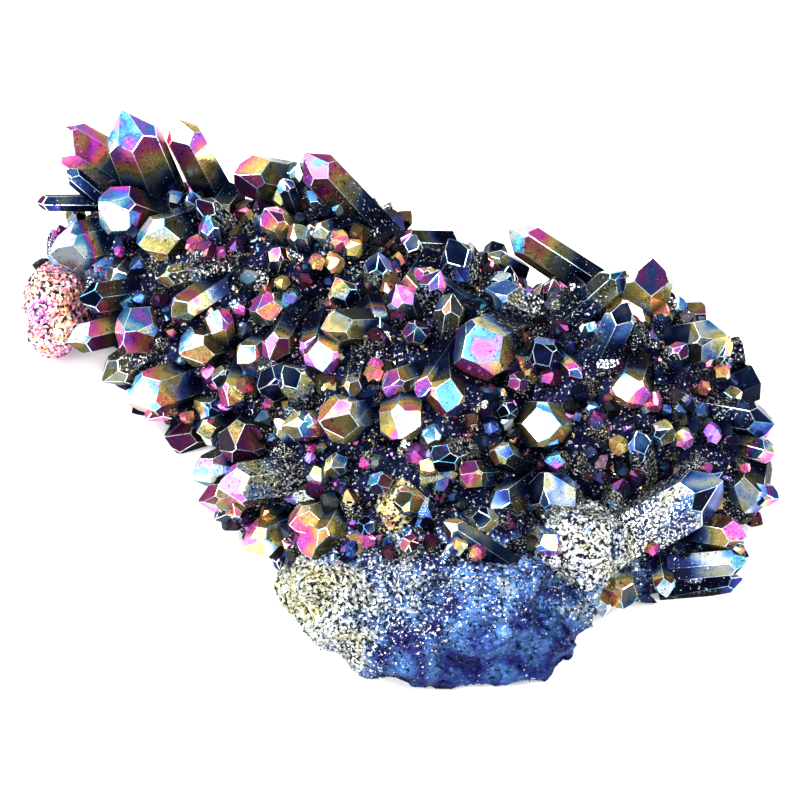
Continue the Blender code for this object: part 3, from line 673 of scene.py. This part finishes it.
def math_node(nodes, links, operation, first, second, clamp=False):
    """A Math node on two sockets or numbers, and its output."""
    node = nodes.new("ShaderNodeMath")
    node.operation = operation
    node.use_clamp = clamp
    for socket, value in zip(node.inputs, (first, second)):
        if isinstance(value, (int, float)):
            socket.default_value = value
        else:
            links.new(value, socket)
    return node.outputs["Value"]


def noise_node(nodes, links, vector, scale, detail=2.0, roughness=0.5):
    """A Noise texture on a vector, and its output."""
    node = nodes.new("ShaderNodeTexNoise")
    node.inputs["Scale"].default_value = scale
    node.inputs["Detail"].default_value = detail
    node.inputs["Roughness"].default_value = roughness
    links.new(vector, node.inputs["Vector"])
    return node.outputs["Fac"]


def attribute_node(nodes, name):
    """The number that a mesh stores under a name."""
    node = nodes.new("ShaderNodeAttribute")
    node.attribute_name = name
    return node.outputs["Fac"]


def spread(nodes, links, value, low, high, to_low, to_high):
    """A Map Range node."""
    node = nodes.new("ShaderNodeMapRange")
    links.new(value, node.inputs["Value"])
    for socket, number in (
        ("From Min", low),
        ("From Max", high),
        ("To Min", to_low),
        ("To Max", to_high),
    ):
        node.inputs[socket].default_value = number
    return node.outputs["Result"]


def mixed(nodes, links, share, first, second):
    """A colour between two, each a socket or a colour."""
    node = nodes.new("ShaderNodeMix")
    node.data_type = "RGBA"
    links.new(share, node.inputs["Factor"])
    for socket, value in (("A", first), ("B", second)):
        if isinstance(value, bpy.types.NodeSocket):
            links.new(value, node.inputs[socket])
        else:
            node.inputs[socket].default_value = (*value, 1)
    return node.outputs["Result"]


def speckle(nodes, links, noise, frost, weight, edge):
    """Where specks show: wherever the noise, helped by the frost, climbs over an edge."""
    helped = math_node(nodes, links, "MULTIPLY", frost, weight)
    level = math_node(nodes, links, "ADD", noise, helped)
    return spread(nodes, links, level, edge, edge + SPECK_EDGE, 0, 1)


def film_material(name, film, finish, striped=False):
    """Quartz or rock under the metal film. Its mesh stores film, light and frost; light is painted light
    and shade.

    A striped one has growth lines too, by the distance from the tip that its mesh stores as along.
    """
    material = bpy.data.materials.new(name)
    material.use_nodes = True
    nodes, links = material.node_tree.nodes, material.node_tree.links
    shader = nodes["Principled BSDF"]
    shader.inputs["Metallic"].default_value = METAL_SHARE
    place = nodes.new("ShaderNodeTexCoord").outputs["Object"]
    frost = attribute_node(nodes, "frost")

    patches = noise_node(nodes, links, place, 1 / (PATCH_SIZE * MM), 1)
    drift = finish.patchiness
    shift = spread(nodes, links, patches, NOISE_LOW, NOISE_HIGH, -drift, drift)
    thickness = math_node(nodes, links, "ADD", attribute_node(nodes, "film"), shift, True)
    ramp = film_ramp(nodes, film)
    links.new(thickness, ramp.inputs["Fac"])

    grain = finish.grain * MM
    fine = noise_node(nodes, links, place, 1 / grain, 4, 0.7)
    coarse = noise_node(nodes, links, place, 1 / (grain * PIT_SIZE), 3, 0.6)
    # light is painted light and shade: where it is low the colour fades to the crevice shade colour, a
    # painted shade in the gaps, at the roots and on faces that stand for dark reflections.
    light = attribute_node(nodes, "light")
    lit = mixed(nodes, links, light, film.crevice_shade, ramp.outputs["Color"])
    # Silver specks, partly painted glints, then dark pits of painted shade in the crevice shade colour.
    specks = speckle(nodes, links, fine, frost, *SPECKS)
    silver_and_glints = mixed(nodes, links, specks, lit, film.frost)
    pits = speckle(nodes, links, coarse, frost, *PITS)
    links.new(mixed(nodes, links, pits, silver_and_glints, film.crevice_shade), shader.inputs["Base Color"])
    # Painted shade on the reflections as well: the specular tint fades to the crevice shade colour where
    # light is low.
    links.new(mixed(nodes, links, light, film.crevice_shade, (1, 1, 1)), shader.inputs["Specular Tint"])

    roughness = spread(
        nodes, links, fine, NOISE_LOW, NOISE_HIGH, finish.smoothest, finish.roughest
    )
    links.new(roughness, shader.inputs["Roughness"])

    relief = nodes.new("ShaderNodeBump")
    relief.inputs["Distance"].default_value = finish.bump * MM
    strength = spread(nodes, links, frost, *FROST_RANGE, *FROST_BUMPS)
    links.new(strength, relief.inputs["Strength"])
    height = fine
    if striped:
        lines = nodes.new("ShaderNodeTexNoise")
        lines.noise_dimensions = "1D"
        lines.inputs["Scale"].default_value = STRIPES_PER_MM
        lines.inputs["Detail"].default_value = 3
        links.new(attribute_node(nodes, "along"), lines.inputs["W"])
        height = math_node(nodes, links, "ADD", lines.outputs["Fac"], fine)
    links.new(height, relief.inputs["Height"])
    links.new(relief.outputs["Normal"], shader.inputs["Normal"])
    return material


def colour(name, description, default):
    """A colour setting."""
    return FloatVectorProperty(
        name=name, description=description, subtype="COLOR", min=0, max=1, default=default
    )


def length_mm(name, description, default):
    """A length setting, held in metres and given in millimetres."""
    return FloatProperty(
        name=name,
        description=description,
        default=default * MM,
        min=0,
        subtype="DISTANCE",
        unit="LENGTH",
        precision=5,
    )


class FilmSettings(bpy.types.PropertyGroup):
    """The colours of the film, from thin to thick."""

    ink: colour("Ink", "Film too thin to shine", (0.004, 0.005, 0.02))
    navy: colour("Navy", "Thin film", (0.012, 0.018, 0.18))
    steel: colour("Steel", "Thin film where it turns blue-grey", (0.07, 0.2, 0.52))
    silver: colour("Silver", "Film where it is nearly colourless", (0.5, 0.56, 0.5))
    olive: colour("Olive", "Film where it starts to yellow", (0.4, 0.38, 0.12))
    gold: colour("Gold", "First-order yellow", (0.9, 0.7, 0.22))
    orange: colour("Orange", "First-order orange", (0.92, 0.36, 0.16))
    magenta: colour("Magenta", "First-order red", (0.88, 0.1, 0.46))
    purple: colour("Purple", "Second-order violet", (0.5, 0.12, 0.66))
    blue: colour("Blue", "Second-order blue", (0.07, 0.2, 0.7))
    cyan: colour("Cyan", "Second-order blue-green", (0.14, 0.62, 0.85))
    ice: colour("Ice", "The palest, thickest film", (0.85, 0.97, 1.0))
    # Specks in this colour are partly silver film and partly painted glints.
    frost: colour("Frost", "Silvery frosting on rock and grains", (0.97, 0.98, 0.9))
    # Painted shade: the colour that the film and its reflections fade to where light is low.
    crevice_shade: colour("Crevice", "What the film fades to in the gaps", (0.002, 0.003, 0.012))


class RockSettings(bpy.types.PropertyGroup):
    """The fineness and relief of the rock's skin."""

    bare_edge: length_mm("Bare edge", "Longest mesh edge on bare rock", 0.75)
    crown_edge: length_mm("Crown edge", "Longest mesh edge between the crystals", 2.0)
    crumple_size: length_mm("Crumple size", "Width of the rock's small facets", 1.9)
    crumple_height: length_mm("Crumple height", "Relief of the rock's small facets", 0.8)


class PointSettings(bpy.types.PropertyGroup):
    """The finish of the large crystals."""

    # The bevel is real; its faces are painted in the palest film as glints, a painted highlight.
    edge: length_mm("Edge", "Width of the worn edges between crystal faces", 0.055)


class GrainSettings(bpy.types.PropertyGroup):
    """The small crystals and grains between the points."""

    small_count: IntProperty(
        name="Small crystals", description="How many small crystals are tried", default=2600, min=0
    )
    grain_count: IntProperty(
        name="Grains", description="How many grains are tried on the crown", default=11000, min=0
    )
    crust_count: IntProperty(
        name="Crust", description="How many grains are tried on the bare rock", default=9000, min=0
    )
    small_width: length_mm("Small width", "Widest small crystal", 3.2)
    grain_width: length_mm("Grain width", "Widest grain", 1.0)


class StageSettings(bpy.types.PropertyGroup):
    """The floor, the lights and the camera."""

    floor: colour("Floor", "Colour of the floor", (0.97, 0.97, 0.97))
    lens: FloatProperty(
        name="Lens", description="Focal length in millimetres", default=300, min=1, unit="CAMERA"
    )
    distance: FloatProperty(
        name="Distance",
        description="Camera to the middle of the base",
        default=1.0,
        min=0.1,
        unit="LENGTH",
    )


def split_long_edges(bm, bare_edge, crown_edge):
    """Halve the edges of the round mesh that would come out too long above the base."""
    bm.verts.index_update()
    spots = matrix_spots(np.array([vert.co.normalized() for vert in bm.verts]))
    bare = [bareness(Vector(spot)) for spot in spots]
    too_long = []
    for edge in bm.edges:
        one, two = (vert.index for vert in edge.verts)
        most = bare_edge if bare[one] or bare[two] else crown_edge
        length = np.linalg.norm(spots[one] - spots[two])
        if max(spots[one][2], spots[two][2]) > 0 and length > most:
            too_long.append(edge)
    bmesh.ops.subdivide_edges(bm, edges=too_long, cuts=1)
    bmesh.ops.triangulate(bm, faces=bm.faces[:])


def saw_base(bm):
    """Saw a mesh off flat at the base, and close the cut."""
    cut = bmesh.ops.bisect_plane(
        bm,
        geom=bm.verts[:] + bm.edges[:] + bm.faces[:],
        plane_co=(0, 0, 0),
        plane_no=(0, 0, -1),
        clear_outer=True,
    )
    rim = [item for item in cut["geom_cut"] if isinstance(item, bmesh.types.BMEdge)]
    if rim:
        bmesh.ops.edgeloop_fill(bm, edges=rim)


def crumple(spot, size, height):
    """The rock's small facets: each cell of the rock leans its own way."""
    distances, cells = noise.voronoi(spot / size)
    lean = noise.cell_vector(cells[0] * CELL_STRIDE) - Vector((0.5, 0.5, 0.5))
    tilt = (spot / size - cells[0]).dot(lean)
    fine = noise.noise(spot / size * FINE_CRUMPLE) * FINE_SHARE
    return (tilt + fine) * height


def patch_looks(spot):
    """The film, painted light and shade, and frost of the rock at a spot, blended from the patches near
    it.
    """
    waved = spot + noise.noise_vector(spot / WAVE_SIZE) * WAVE_REACH
    across, up = waved.dot(ACROSS), waved.dot(UP)
    behind = 1 - smooth_step(BEHIND - BEHIND_BLEND, BEHIND, spot.dot(TOWARD))
    looks = [(PLAIN_WEIGHT + behind, PLAIN_ROCK)]
    for patch in PATCHES:
        away = math.hypot(across - patch.across, up - patch.up) / patch.radius
        looks.append((math.exp(-away * away) * (1 - behind), patch))
    total = sum(weight for weight, _ in looks)
    return tuple(
        sum(weight * getattr(patch, part) for weight, patch in looks) / total
        for part in ("film", "light", "frost")
    )


def build_nodule(nodule, size, height):
    """A knob of crust: a round mesh stretched to its radii, with the rock's relief."""
    bm = bmesh.new()
    bmesh.ops.create_icosphere(bm, subdivisions=NODULE_DETAIL, radius=1)
    for vert in bm.verts:
        way = vert.co.normalized()
        spot = Vector(nodule.centre) + Vector((way[i] * nodule.radii[i] for i in range(3)))
        rise = relief(spot) * NODULE_SWELL + crumple(spot, size, height)
        vert.co = spot + way * rise
    return bm


def paint_rock(bm, patch=None):
    """Give each vertex of the rock its film, painted light and shade, and frost: the patch's, or those
    near it.
    """
    layers = [bm.verts.layers.float.new(name) for name in ("film", "light", "frost")]
    for vert in bm.verts:
        looks = (patch.film, patch.light, patch.frost) if patch else patch_looks(vert.co)
        for layer, look in zip(layers, looks):
            vert[layer] = look


def add_to(joined, bm):
    """Put a finished part of a piece into it."""
    scratch = bpy.data.meshes.new("scratch")
    bm.to_mesh(scratch)
    bm.free()
    joined.from_mesh(scratch)
    bpy.data.meshes.remove(scratch)


def finish_mesh(name, joined):
    """The finished mesh of a piece that was built in millimetres."""
    bmesh.ops.scale(joined, vec=(MM, MM, MM), verts=joined.verts[:])
    mesh = bpy.data.meshes.new(name)
    joined.to_mesh(mesh)
    joined.free()
    return mesh


class QUARTZ_OT_rock(bpy.types.Operator):
    """Build the rough rock that the crystals stand on, sawn flat underneath, and its knobs"""

    bl_idname = "quartz.rock"
    bl_label = "Rock"

    def execute(self, context):
        film, rock = context.scene.quartz_film, context.scene.quartz_rock
        bm = bmesh.new()
        bmesh.ops.create_icosphere(bm, subdivisions=ROCK_DETAIL, radius=1)
        for _ in range(SPLIT_ROUNDS):
            split_long_edges(bm, rock.bare_edge / MM, rock.crown_edge / MM)
        size, height = rock.crumple_size / MM, rock.crumple_height / MM
        spots = matrix_spots(np.array([vert.co.normalized() for vert in bm.verts]))
        for vert, spot in zip(bm.verts, spots):
            vert.co = Vector(spot)
        bmesh.ops.recalc_face_normals(bm, faces=bm.faces[:])
        bm.normal_update()
        for vert in bm.verts:
            vert.co += vert.normal * crumple(vert.co, size, height)
        saw_base(bm)
        paint_rock(bm)
        joined = bmesh.new()
        add_to(joined, bm)
        for nodule in NODULES:
            bm = build_nodule(nodule, size, height)
            saw_base(bm)
            paint_rock(bm, NODULE_PATCHES[nodule.name])
            add_to(joined, bm)
        material = film_material("film on rock", film, ROCK_FINISH)
        add_piece("rock", finish_mesh("rock", joined), material)
        return {"FINISHED"}


def build_point(length, width, depth, seed):
    """A quartz point along +Z that rises from the origin to length, and has its root below."""
    draw = random.Random(seed)
    bm = bmesh.new()
    height = length + depth + width
    bmesh.ops.create_cone(
        bm,
        cap_ends=True,
        segments=SIDES,
        radius1=width / 2 * CORNER_SHARE * (1 + TAPER),
        radius2=width / 2 * CORNER_SHARE * (1 - TAPER),
        depth=height,
        matrix=Matrix.Translation((0, 0, height / 2 - depth)),
    )
    bmesh.ops.scale(bm, vec=(1, 1 - draw.random() * MOST_SQUEEZE, 1), verts=bm.verts[:])
    for side in range(SIDES):
        turn = math.tau * (side + 0.5) / SIDES
        rise = width * draw.uniform(*SMALL_FACE_RISE) * (side % 2)
        normal = Vector((math.cos(turn), math.sin(turn), math.tan(POINT_ANGLE))).normalized()
        cut = bmesh.ops.bisect_plane(
            bm,
            geom=bm.verts[:] + bm.edges[:] + bm.faces[:],
            plane_co=(0, 0, length + rise),
            plane_no=normal,
            clear_outer=True,
        )
        rim = [item for item in cut["geom_cut"] if isinstance(item, bmesh.types.BMEdge)]
        if rim:
            bmesh.ops.edgeloop_fill(bm, edges=rim)
    bmesh.ops.recalc_face_normals(bm, faces=bm.faces[:])
    return bm


def stand(tip, axis, length, turn):
    """The placing of a point whose tip and axis are known."""
    to_axis = axis.to_track_quat("Z", "Y").to_matrix().to_4x4()
    return Matrix.Translation(tip - axis * length) @ to_axis @ Matrix.Rotation(turn, 4, "Z")


def ring_cuts(bm, length, width):
    """Cut a point's prism into rings, so that the film can change along it."""
    for share in RING_SHARES:
        bmesh.ops.bisect_plane(
            bm,
            geom=bm.verts[:] + bm.edges[:] + bm.faces[:],
            plane_co=(0, 0, (length - width * RING_TIP_SHARE) * share),
            plane_no=(0, 0, 1),
        )


def heading_of(normal):
    """Which way a face looks on the show face, in degrees, 0 to the right and 90 up."""
    return math.degrees(math.atan2(normal.dot(UP), normal.dot(ACROSS)))


def tip_look(placed, heading, draw):
    """The film and the painted light and shade of one face of a point's tip."""
    drift = draw.uniform(-TIP_DRIFT, TIP_DRIFT)
    share = draw.choice(TIP_LIGHTS)
    listed = FACETS.get(placed.look.name)
    if not listed:
        return placed.look.tip + drift, placed.look.light * share
    nearest = min(listed, key=lambda facet: abs((heading - facet[0] + 180) % 360 - 180))
    return nearest[1] + drift * LISTED_DRIFT, nearest[2]


def paint_point(bm, placed, matrix, seed):
    """Give each corner of a point its film, painted light and shade, frost and distance from the tip."""
    draw = random.Random(seed * PAINT_STRIDE + PAINT_START)
    names = ("film", "light", "frost", "along")
    layers = [bm.loops.layers.float.new(name) for name in names]
    glinting = bm.faces.layers.int["glinting"]
    turned = matrix.to_3x3()
    tip_height = placed.width / 2 / math.tan(POINT_ANGLE)
    bodies = [draw.uniform(-BODY_DRIFT, BODY_DRIFT) for _ in range(SIDES)]
    # Each prism face's painted light and shade, drawn from BODY_LIGHTS.
    body_lights = [draw.choice(BODY_LIGHTS) * placed.look.light for _ in range(SIDES)]
    drifts = [draw.uniform(*FACE_DRIFT) for _ in range(SIDES)]
    tips = {}
    for face in bm.faces:
        side = int(math.atan2(face.normal.y, face.normal.x) / math.tau * SIDES) % SIDES
        on_tip = face.normal.z > LEAST_TIP_SLOPE
        if on_tip and side not in tips and not face[glinting]:
            tips[side] = tip_look(placed, heading_of(turned @ face.normal), draw)
        for loop in face.loops:
            along = placed.length - loop.vert.co.z
            sunk = smooth_step(tip_height, placed.length, along)
            # Bevel faces: the palest film as a painted highlight, its painted light fading to painted
            # shade towards the root.
            if face[glinting]:
                looks = (GLINT_FILM, 1 - GLINT_FADE * sunk, GLINT_FROST)
            elif on_tip:
                film, light = tips[side]
                looks = (film + drifts[side] * along / tip_height, light, TIP_FROST)
            else:
                film = placed.look.body + bodies[side]
                # The prism's painted light sinks to ROOT_LIGHT towards the root: painted shade.
                light = body_lights[side]
                looks = (
                    film + (ROOT_FILM - film) * sunk,
                    light + (ROOT_LIGHT - light) * sunk,
                    placed.look.frost * (1 - CLEAN_SHARE * (1 - sunk)),
                )
            for layer, look in zip(layers, looks):
                loop[layer] = min(max(look, 0), 1)
            loop[layers[-1]] = along


class QUARTZ_OT_points(bpy.types.Operator):
    """Build the quartz points that stand out of the rock"""

    bl_idname = "quartz.points"
    bl_label = "Points"

    def execute(self, context):
        film, settings = context.scene.quartz_film, context.scene.quartz_points
        joined = bmesh.new()
        listed = show_face_points()
        for number, placed in enumerate(listed + filler_points(listed)):
            bm = build_point(placed.length, placed.width, placed.depth, FIRST_SEED + number)
            glinting = bm.faces.layers.int.new("glinting")
            sharp = [edge for edge in bm.edges if edge.calc_face_angle(0) > SHARP_ANGLE]
            bevelled = bmesh.ops.bevel(
                bm,
                geom=sharp,
                offset=settings.edge / MM,
                offset_type="OFFSET",
                segments=1,
                profile=0.5,
                affect="EDGES",
                clamp_overlap=True,
                material=-1,
            )
            # The bevel's faces are marked to be painted as glints.
            for face in bevelled["faces"]:
                face[glinting] = 1
            ring_cuts(bm, placed.length, placed.width)
            bm.normal_update()
            matrix = stand(placed.tip, placed.axis, placed.length, GOLDEN_TURN * number)
            paint_point(bm, placed, matrix, number)
            bm.faces.layers.int.remove(bm.faces.layers.int["glinting"])
            bm.transform(matrix)
            saw_base(bm)
            add_to(joined, bm)
        material = film_material("film on quartz", film, POINT_FINISH, striped=True)
        add_piece("quartz_points", finish_mesh("quartz_points", joined), material)
        return {"FINISHED"}


def crystal_pattern(seed):
    """A stubby crystal one unit wide along +Z: its points, triangles and which are on its tip."""
    draw = random.Random(seed)
    return pattern_of(build_point(draw.uniform(*SMALL_STANDS), 1, SMALL_SINK, seed))


def grain_pattern(seed):
    """A grain one unit wide: a squat pyramid with a small flat top."""
    draw = random.Random(seed)
    bm = bmesh.new()
    bmesh.ops.create_cone(
        bm,
        cap_ends=True,
        segments=draw.choice(GRAIN_SIDES),
        radius1=0.5,
        radius2=draw.uniform(*GRAIN_TOPS),
        depth=draw.uniform(*GRAIN_HEIGHTS),
    )
    return pattern_of(bm)


def pattern_of(bm):
    """The points, the triangles and the tip faces of a small shape, as arrays."""
    bmesh.ops.triangulate(bm, faces=bm.faces[:])
    bm.normal_update()
    points = np.array([vert.co[:] for vert in bm.verts])
    faces = np.array([[vert.index for vert in face.verts] for face in bm.faces])
    tips = [face.normal.z > LEAST_TIP_SLOPE for face in bm.faces]
    bm.free()
    return points, faces, tips


def scatter_mesh(name, spots, patterns, seed, tip_frost):
    """One mesh of many small shapes. Each spot is a place, an axis, a width and its look."""
    draw = random.Random(seed)
    points, faces, looks, count = [], [], [], 0
    for place, axis, width, look in spots:
        pattern, corners, tips = patterns[draw.randrange(len(patterns))]
        turn = draw.uniform(0, math.tau)
        matrix = np.array(stand(place, axis, 0, turn) @ Matrix.Diagonal((width, width, width, 1)))
        points.append(pattern @ matrix[:3, :3].T + matrix[:3, 3])
        faces.append(corners + count)
        count += len(pattern)
        for on_tip in tips:
            if on_tip:
                film = look.tip + draw.uniform(-SMALL_DRIFT, SMALL_DRIFT)
                looks.append((film, look.light, look.frost * tip_frost))
            else:
                # Sides painted darker than tips by BODY_SHADE: painted shade.
                looks.append((look.body, look.light * BODY_SHADE, look.frost))
    mesh = bpy.data.meshes.new(name)
    mesh.from_pydata(np.concatenate(points) * MM, [], np.concatenate(faces))
    mesh.update()
    for number, part in enumerate(("film", "light", "frost")):
        put_values(mesh, part, "FACE", [look[number] for look in looks])
    return mesh


def inside_points(spots, placed):
    """Whether each spot is inside one of the large points, as an array of true and false."""
    inside = np.zeros(len(spots), bool)
    for point in placed:
        away = spots - np.array(point.tip)
        along = -away @ np.array(point.axis)
        off = np.linalg.norm(away + along[:, None] * np.array(point.axis), axis=1)
        within = off < point.width * CORE_SHARE
        inside |= (along > 0) & (along < point.length + CORE_DEPTH) & within
    return inside


def rock_spots(count, seed):
    """Places spread evenly over the rock, with the way its skin faces and its look there."""
    mesh = bpy.data.objects["rock"].data
    draw = random.Random(seed)
    values = [mesh.attributes[name].data for name in ("film", "light", "frost")]
    areas = [polygon.area for polygon in mesh.polygons]
    found = []
    for polygon in draw.choices(mesh.polygons, weights=areas, k=count):
        shares = [-math.log(draw.random() + LEAST_CHANCE) for _ in polygon.vertices]
        total = sum(shares)
        spot = Vector()
        for share, number in zip(shares, polygon.vertices):
            spot += mesh.vertices[number].co * (share / total / MM)
        first = polygon.vertices[0]
        found.append((spot, polygon.normal.copy(), [value[first].value for value in values]))
    return found


def is_crust(spot):
    """Whether a spot is on the bare rock or on a knob, where fine crust grows."""
    warped = spot + noise.noise_vector(spot / CRUST_WARP) * CRUST_WARP
    on_knob = any(
        Vector(((spot[i] - knob.centre[i]) / knob.radii[i] for i in range(3))).length < KNOB_REACH
        for knob in NODULES
    )
    return on_knob or bareness(warped) > CRUST_FROM


def crown_spots(count, widths, seed, placed):
    """Small crystals or grains for the crown: places, axes, widths and looks."""
    draw = random.Random(seed)
    sites = rock_spots(count, seed)
    hidden = inside_points(np.array([spot for spot, _, _ in sites]), placed)
    found = []
    for (spot, normal, _), gone in zip(sites, hidden):
        lean = Vector((draw.gauss(0, 1), draw.gauss(0, 1), draw.gauss(0, 1))) * SMALL_LEAN
        width = draw.uniform(*widths)
        # The look's light is painted light and shade, drawn from SMALL_LIGHTS.
        look = Look(
            "small",
            draw.choice(SMALL_TIPS),
            draw.uniform(*SMALL_BODIES),
            draw.choice(SMALL_LIGHTS),
            draw.uniform(*FILLER_FROSTS),
        )
        axis = (normal + lean).normalized()
        if not gone and spot.z > width and axis.z > LOWEST_AXIS and not is_crust(spot):
            found.append((spot, axis, width, look))
    return found


def crust_spots(count, widths, seed, placed):
    """Grains for the bare rock and its knobs: places, axes, widths and looks."""
    draw = random.Random(seed)
    sites = rock_spots(count, seed)
    hidden = inside_points(np.array([spot for spot, _, _ in sites]), placed)
    found = []
    for (spot, normal, look), gone in zip(sites, hidden):
        lean = Vector((draw.gauss(0, 1), draw.gauss(0, 1), draw.gauss(0, 1))) * CRUST_LEAN
        width = draw.uniform(*widths)
        film, light, frost = look
        # Each grain's painted light and shade, scaled at random by CRUST_LIGHTS.
        light *= draw.choice(CRUST_LIGHTS)
        kept = draw.random() < CRUST_LEAST + frost
        if not gone and kept and spot.z > width and is_crust(spot):
            look = Look("crust", film, film, light, frost)
            found.append((spot, (normal + lean).normalized(), width, look))
    return found


class QUARTZ_OT_small_crystals(bpy.types.Operator):
    """Build the small crystals and grains between the points, and the crust on the bare rock"""

    bl_idname = "quartz.small_crystals"
    bl_label = "Small crystals"

    def execute(self, context):
        film, settings = context.scene.quartz_film, context.scene.quartz_grains
        listed = show_face_points()
        placed = listed + filler_points(listed)
        crystals = [crystal_pattern(seed) for seed in range(PATTERNS)]
        grains = [grain_pattern(seed) for seed in range(PATTERNS)]
        material = film_material("film on small crystals", film, SMALL_FINISH)
        widest, finest = settings.small_width / MM, settings.grain_width / MM
        widths = (widest * SMALL_LEAST, widest)
        spots = crown_spots(settings.small_count, widths, SMALL_SEED, placed)
        mesh = scatter_mesh("small_crystals", spots, crystals, SMALL_SEED, SMALL_TIP_FROST)
        add_piece("small_crystals", mesh, material)
        widths = (finest * SMALL_LEAST, finest)
        spots = crown_spots(settings.grain_count, widths, GRAIN_SEED, placed)
        mesh = scatter_mesh("grains", spots, grains, GRAIN_SEED, GRAIN_TIP_FROST)
        add_piece("grains", mesh, material)
        widths = [finest * share for share in CRUST_SHARES]
        spots = crust_spots(settings.crust_count, widths, CRUST_SEED, placed)
        mesh = scatter_mesh("crust", spots, grains, CRUST_SEED, CRUST_TIP_FROST)
        add_piece("crust", mesh, material)
        return {"FINISHED"}


def area_light(lamp):
    """A soft rectangular light that shines on the cluster from one direction."""
    panel = bpy.data.lights.new(lamp.name, "AREA")
    panel.shape = "RECTANGLE"
    panel.size, panel.size_y = lamp.size
    panel.energy = lamp.power
    light = bpy.data.objects.new(lamp.name, panel)
    bpy.context.scene.collection.objects.link(light)
    way = Vector(lamp.way).normalized()
    light.location = way * lamp.distance
    light.rotation_euler = way.to_track_quat("Z", "Y").to_euler()


class QUARTZ_OT_stage(bpy.types.Operator):
    """Set the floor, the lights, the backdrop and the camera"""

    bl_idname = "quartz.stage"
    bl_label = "Stage"

    def execute(self, context):
        scene, stage = context.scene, context.scene.quartz_stage
        bm = bmesh.new()
        bmesh.ops.create_grid(bm, x_segments=1, y_segments=1, size=FLOOR_SIZE)
        mesh = bpy.data.meshes.new("floor")
        bm.to_mesh(mesh)
        bm.free()
        floor = bpy.data.objects.new("floor", mesh)
        scene.collection.objects.link(floor)
        paint = bpy.data.materials.new("floor paint")
        paint.use_nodes = True
        shader = paint.node_tree.nodes["Principled BSDF"]
        shader.inputs["Base Color"].default_value = (*stage.floor, 1)
        shader.inputs["Roughness"].default_value = FLOOR_ROUGHNESS
        mesh.materials.append(paint)

        for lamp in LAMPS:
            area_light(lamp)

        world = bpy.data.worlds.new("soft backdrop")
        world.use_nodes = True
        background = world.node_tree.nodes["Background"]
        background.inputs["Color"].default_value = (1, 1, 1, 1)
        background.inputs["Strength"].default_value = BACKDROP_STRENGTH
        scene.world = world
        scene.view_settings.view_transform = "Standard"

        camera = bpy.data.objects.new("camera", bpy.data.cameras.new("camera"))
        scene.collection.objects.link(camera)
        camera.data.lens = stage.lens
        camera.location = TOWARD * stage.distance
        camera.rotation_euler = TOWARD.to_track_quat("Z", "Y").to_euler()
        scene.camera = camera
        return {"FINISHED"}


class QUARTZ_PT_panel(bpy.types.Panel):
    """Lists the pieces and their settings"""

    bl_idname = "QUARTZ_PT_panel"
    bl_label = "Quartz cluster"
    bl_space_type = "VIEW_3D"
    bl_region_type = "UI"
    bl_category = "Quartz"

    def draw(self, context):
        layout = self.layout
        for operator in OPERATORS:
            layout.operator(operator.bl_idname)
        for name in SETTINGS:
            settings = getattr(context.scene, name)
            box = layout.box()
            for part in settings.__annotations__:
                box.prop(settings, part)


OPERATORS = (QUARTZ_OT_rock, QUARTZ_OT_points, QUARTZ_OT_small_crystals, QUARTZ_OT_stage)
SETTINGS = {
    "quartz_film": FilmSettings,
    "quartz_rock": RockSettings,
    "quartz_points": PointSettings,
    "quartz_grains": GrainSettings,
    "quartz_stage": StageSettings,
}


def register():
    """Register the classes and their settings."""
    for name, group in SETTINGS.items():
        bpy.utils.register_class(group)
        setattr(bpy.types.Scene, name, PointerProperty(type=group))
    for operator in OPERATORS:
        bpy.utils.register_class(operator)
    bpy.utils.register_class(QUARTZ_PT_panel)


def unregister():
    """Take the classes and their settings away again."""
    bpy.utils.unregister_class(QUARTZ_PT_panel)
    for operator in reversed(OPERATORS):
        bpy.utils.unregister_class(operator)
    for name, group in reversed(SETTINGS.items()):
        delattr(bpy.types.Scene, name)
        bpy.utils.unregister_class(group)


def main():
    """Build the whole scene."""
    register()
    bpy.ops.quartz.stage()
    bpy.ops.quartz.rock()
    bpy.ops.quartz.points()
    bpy.ops.quartz.small_crystals()


if __name__ == "__main__":
    main()
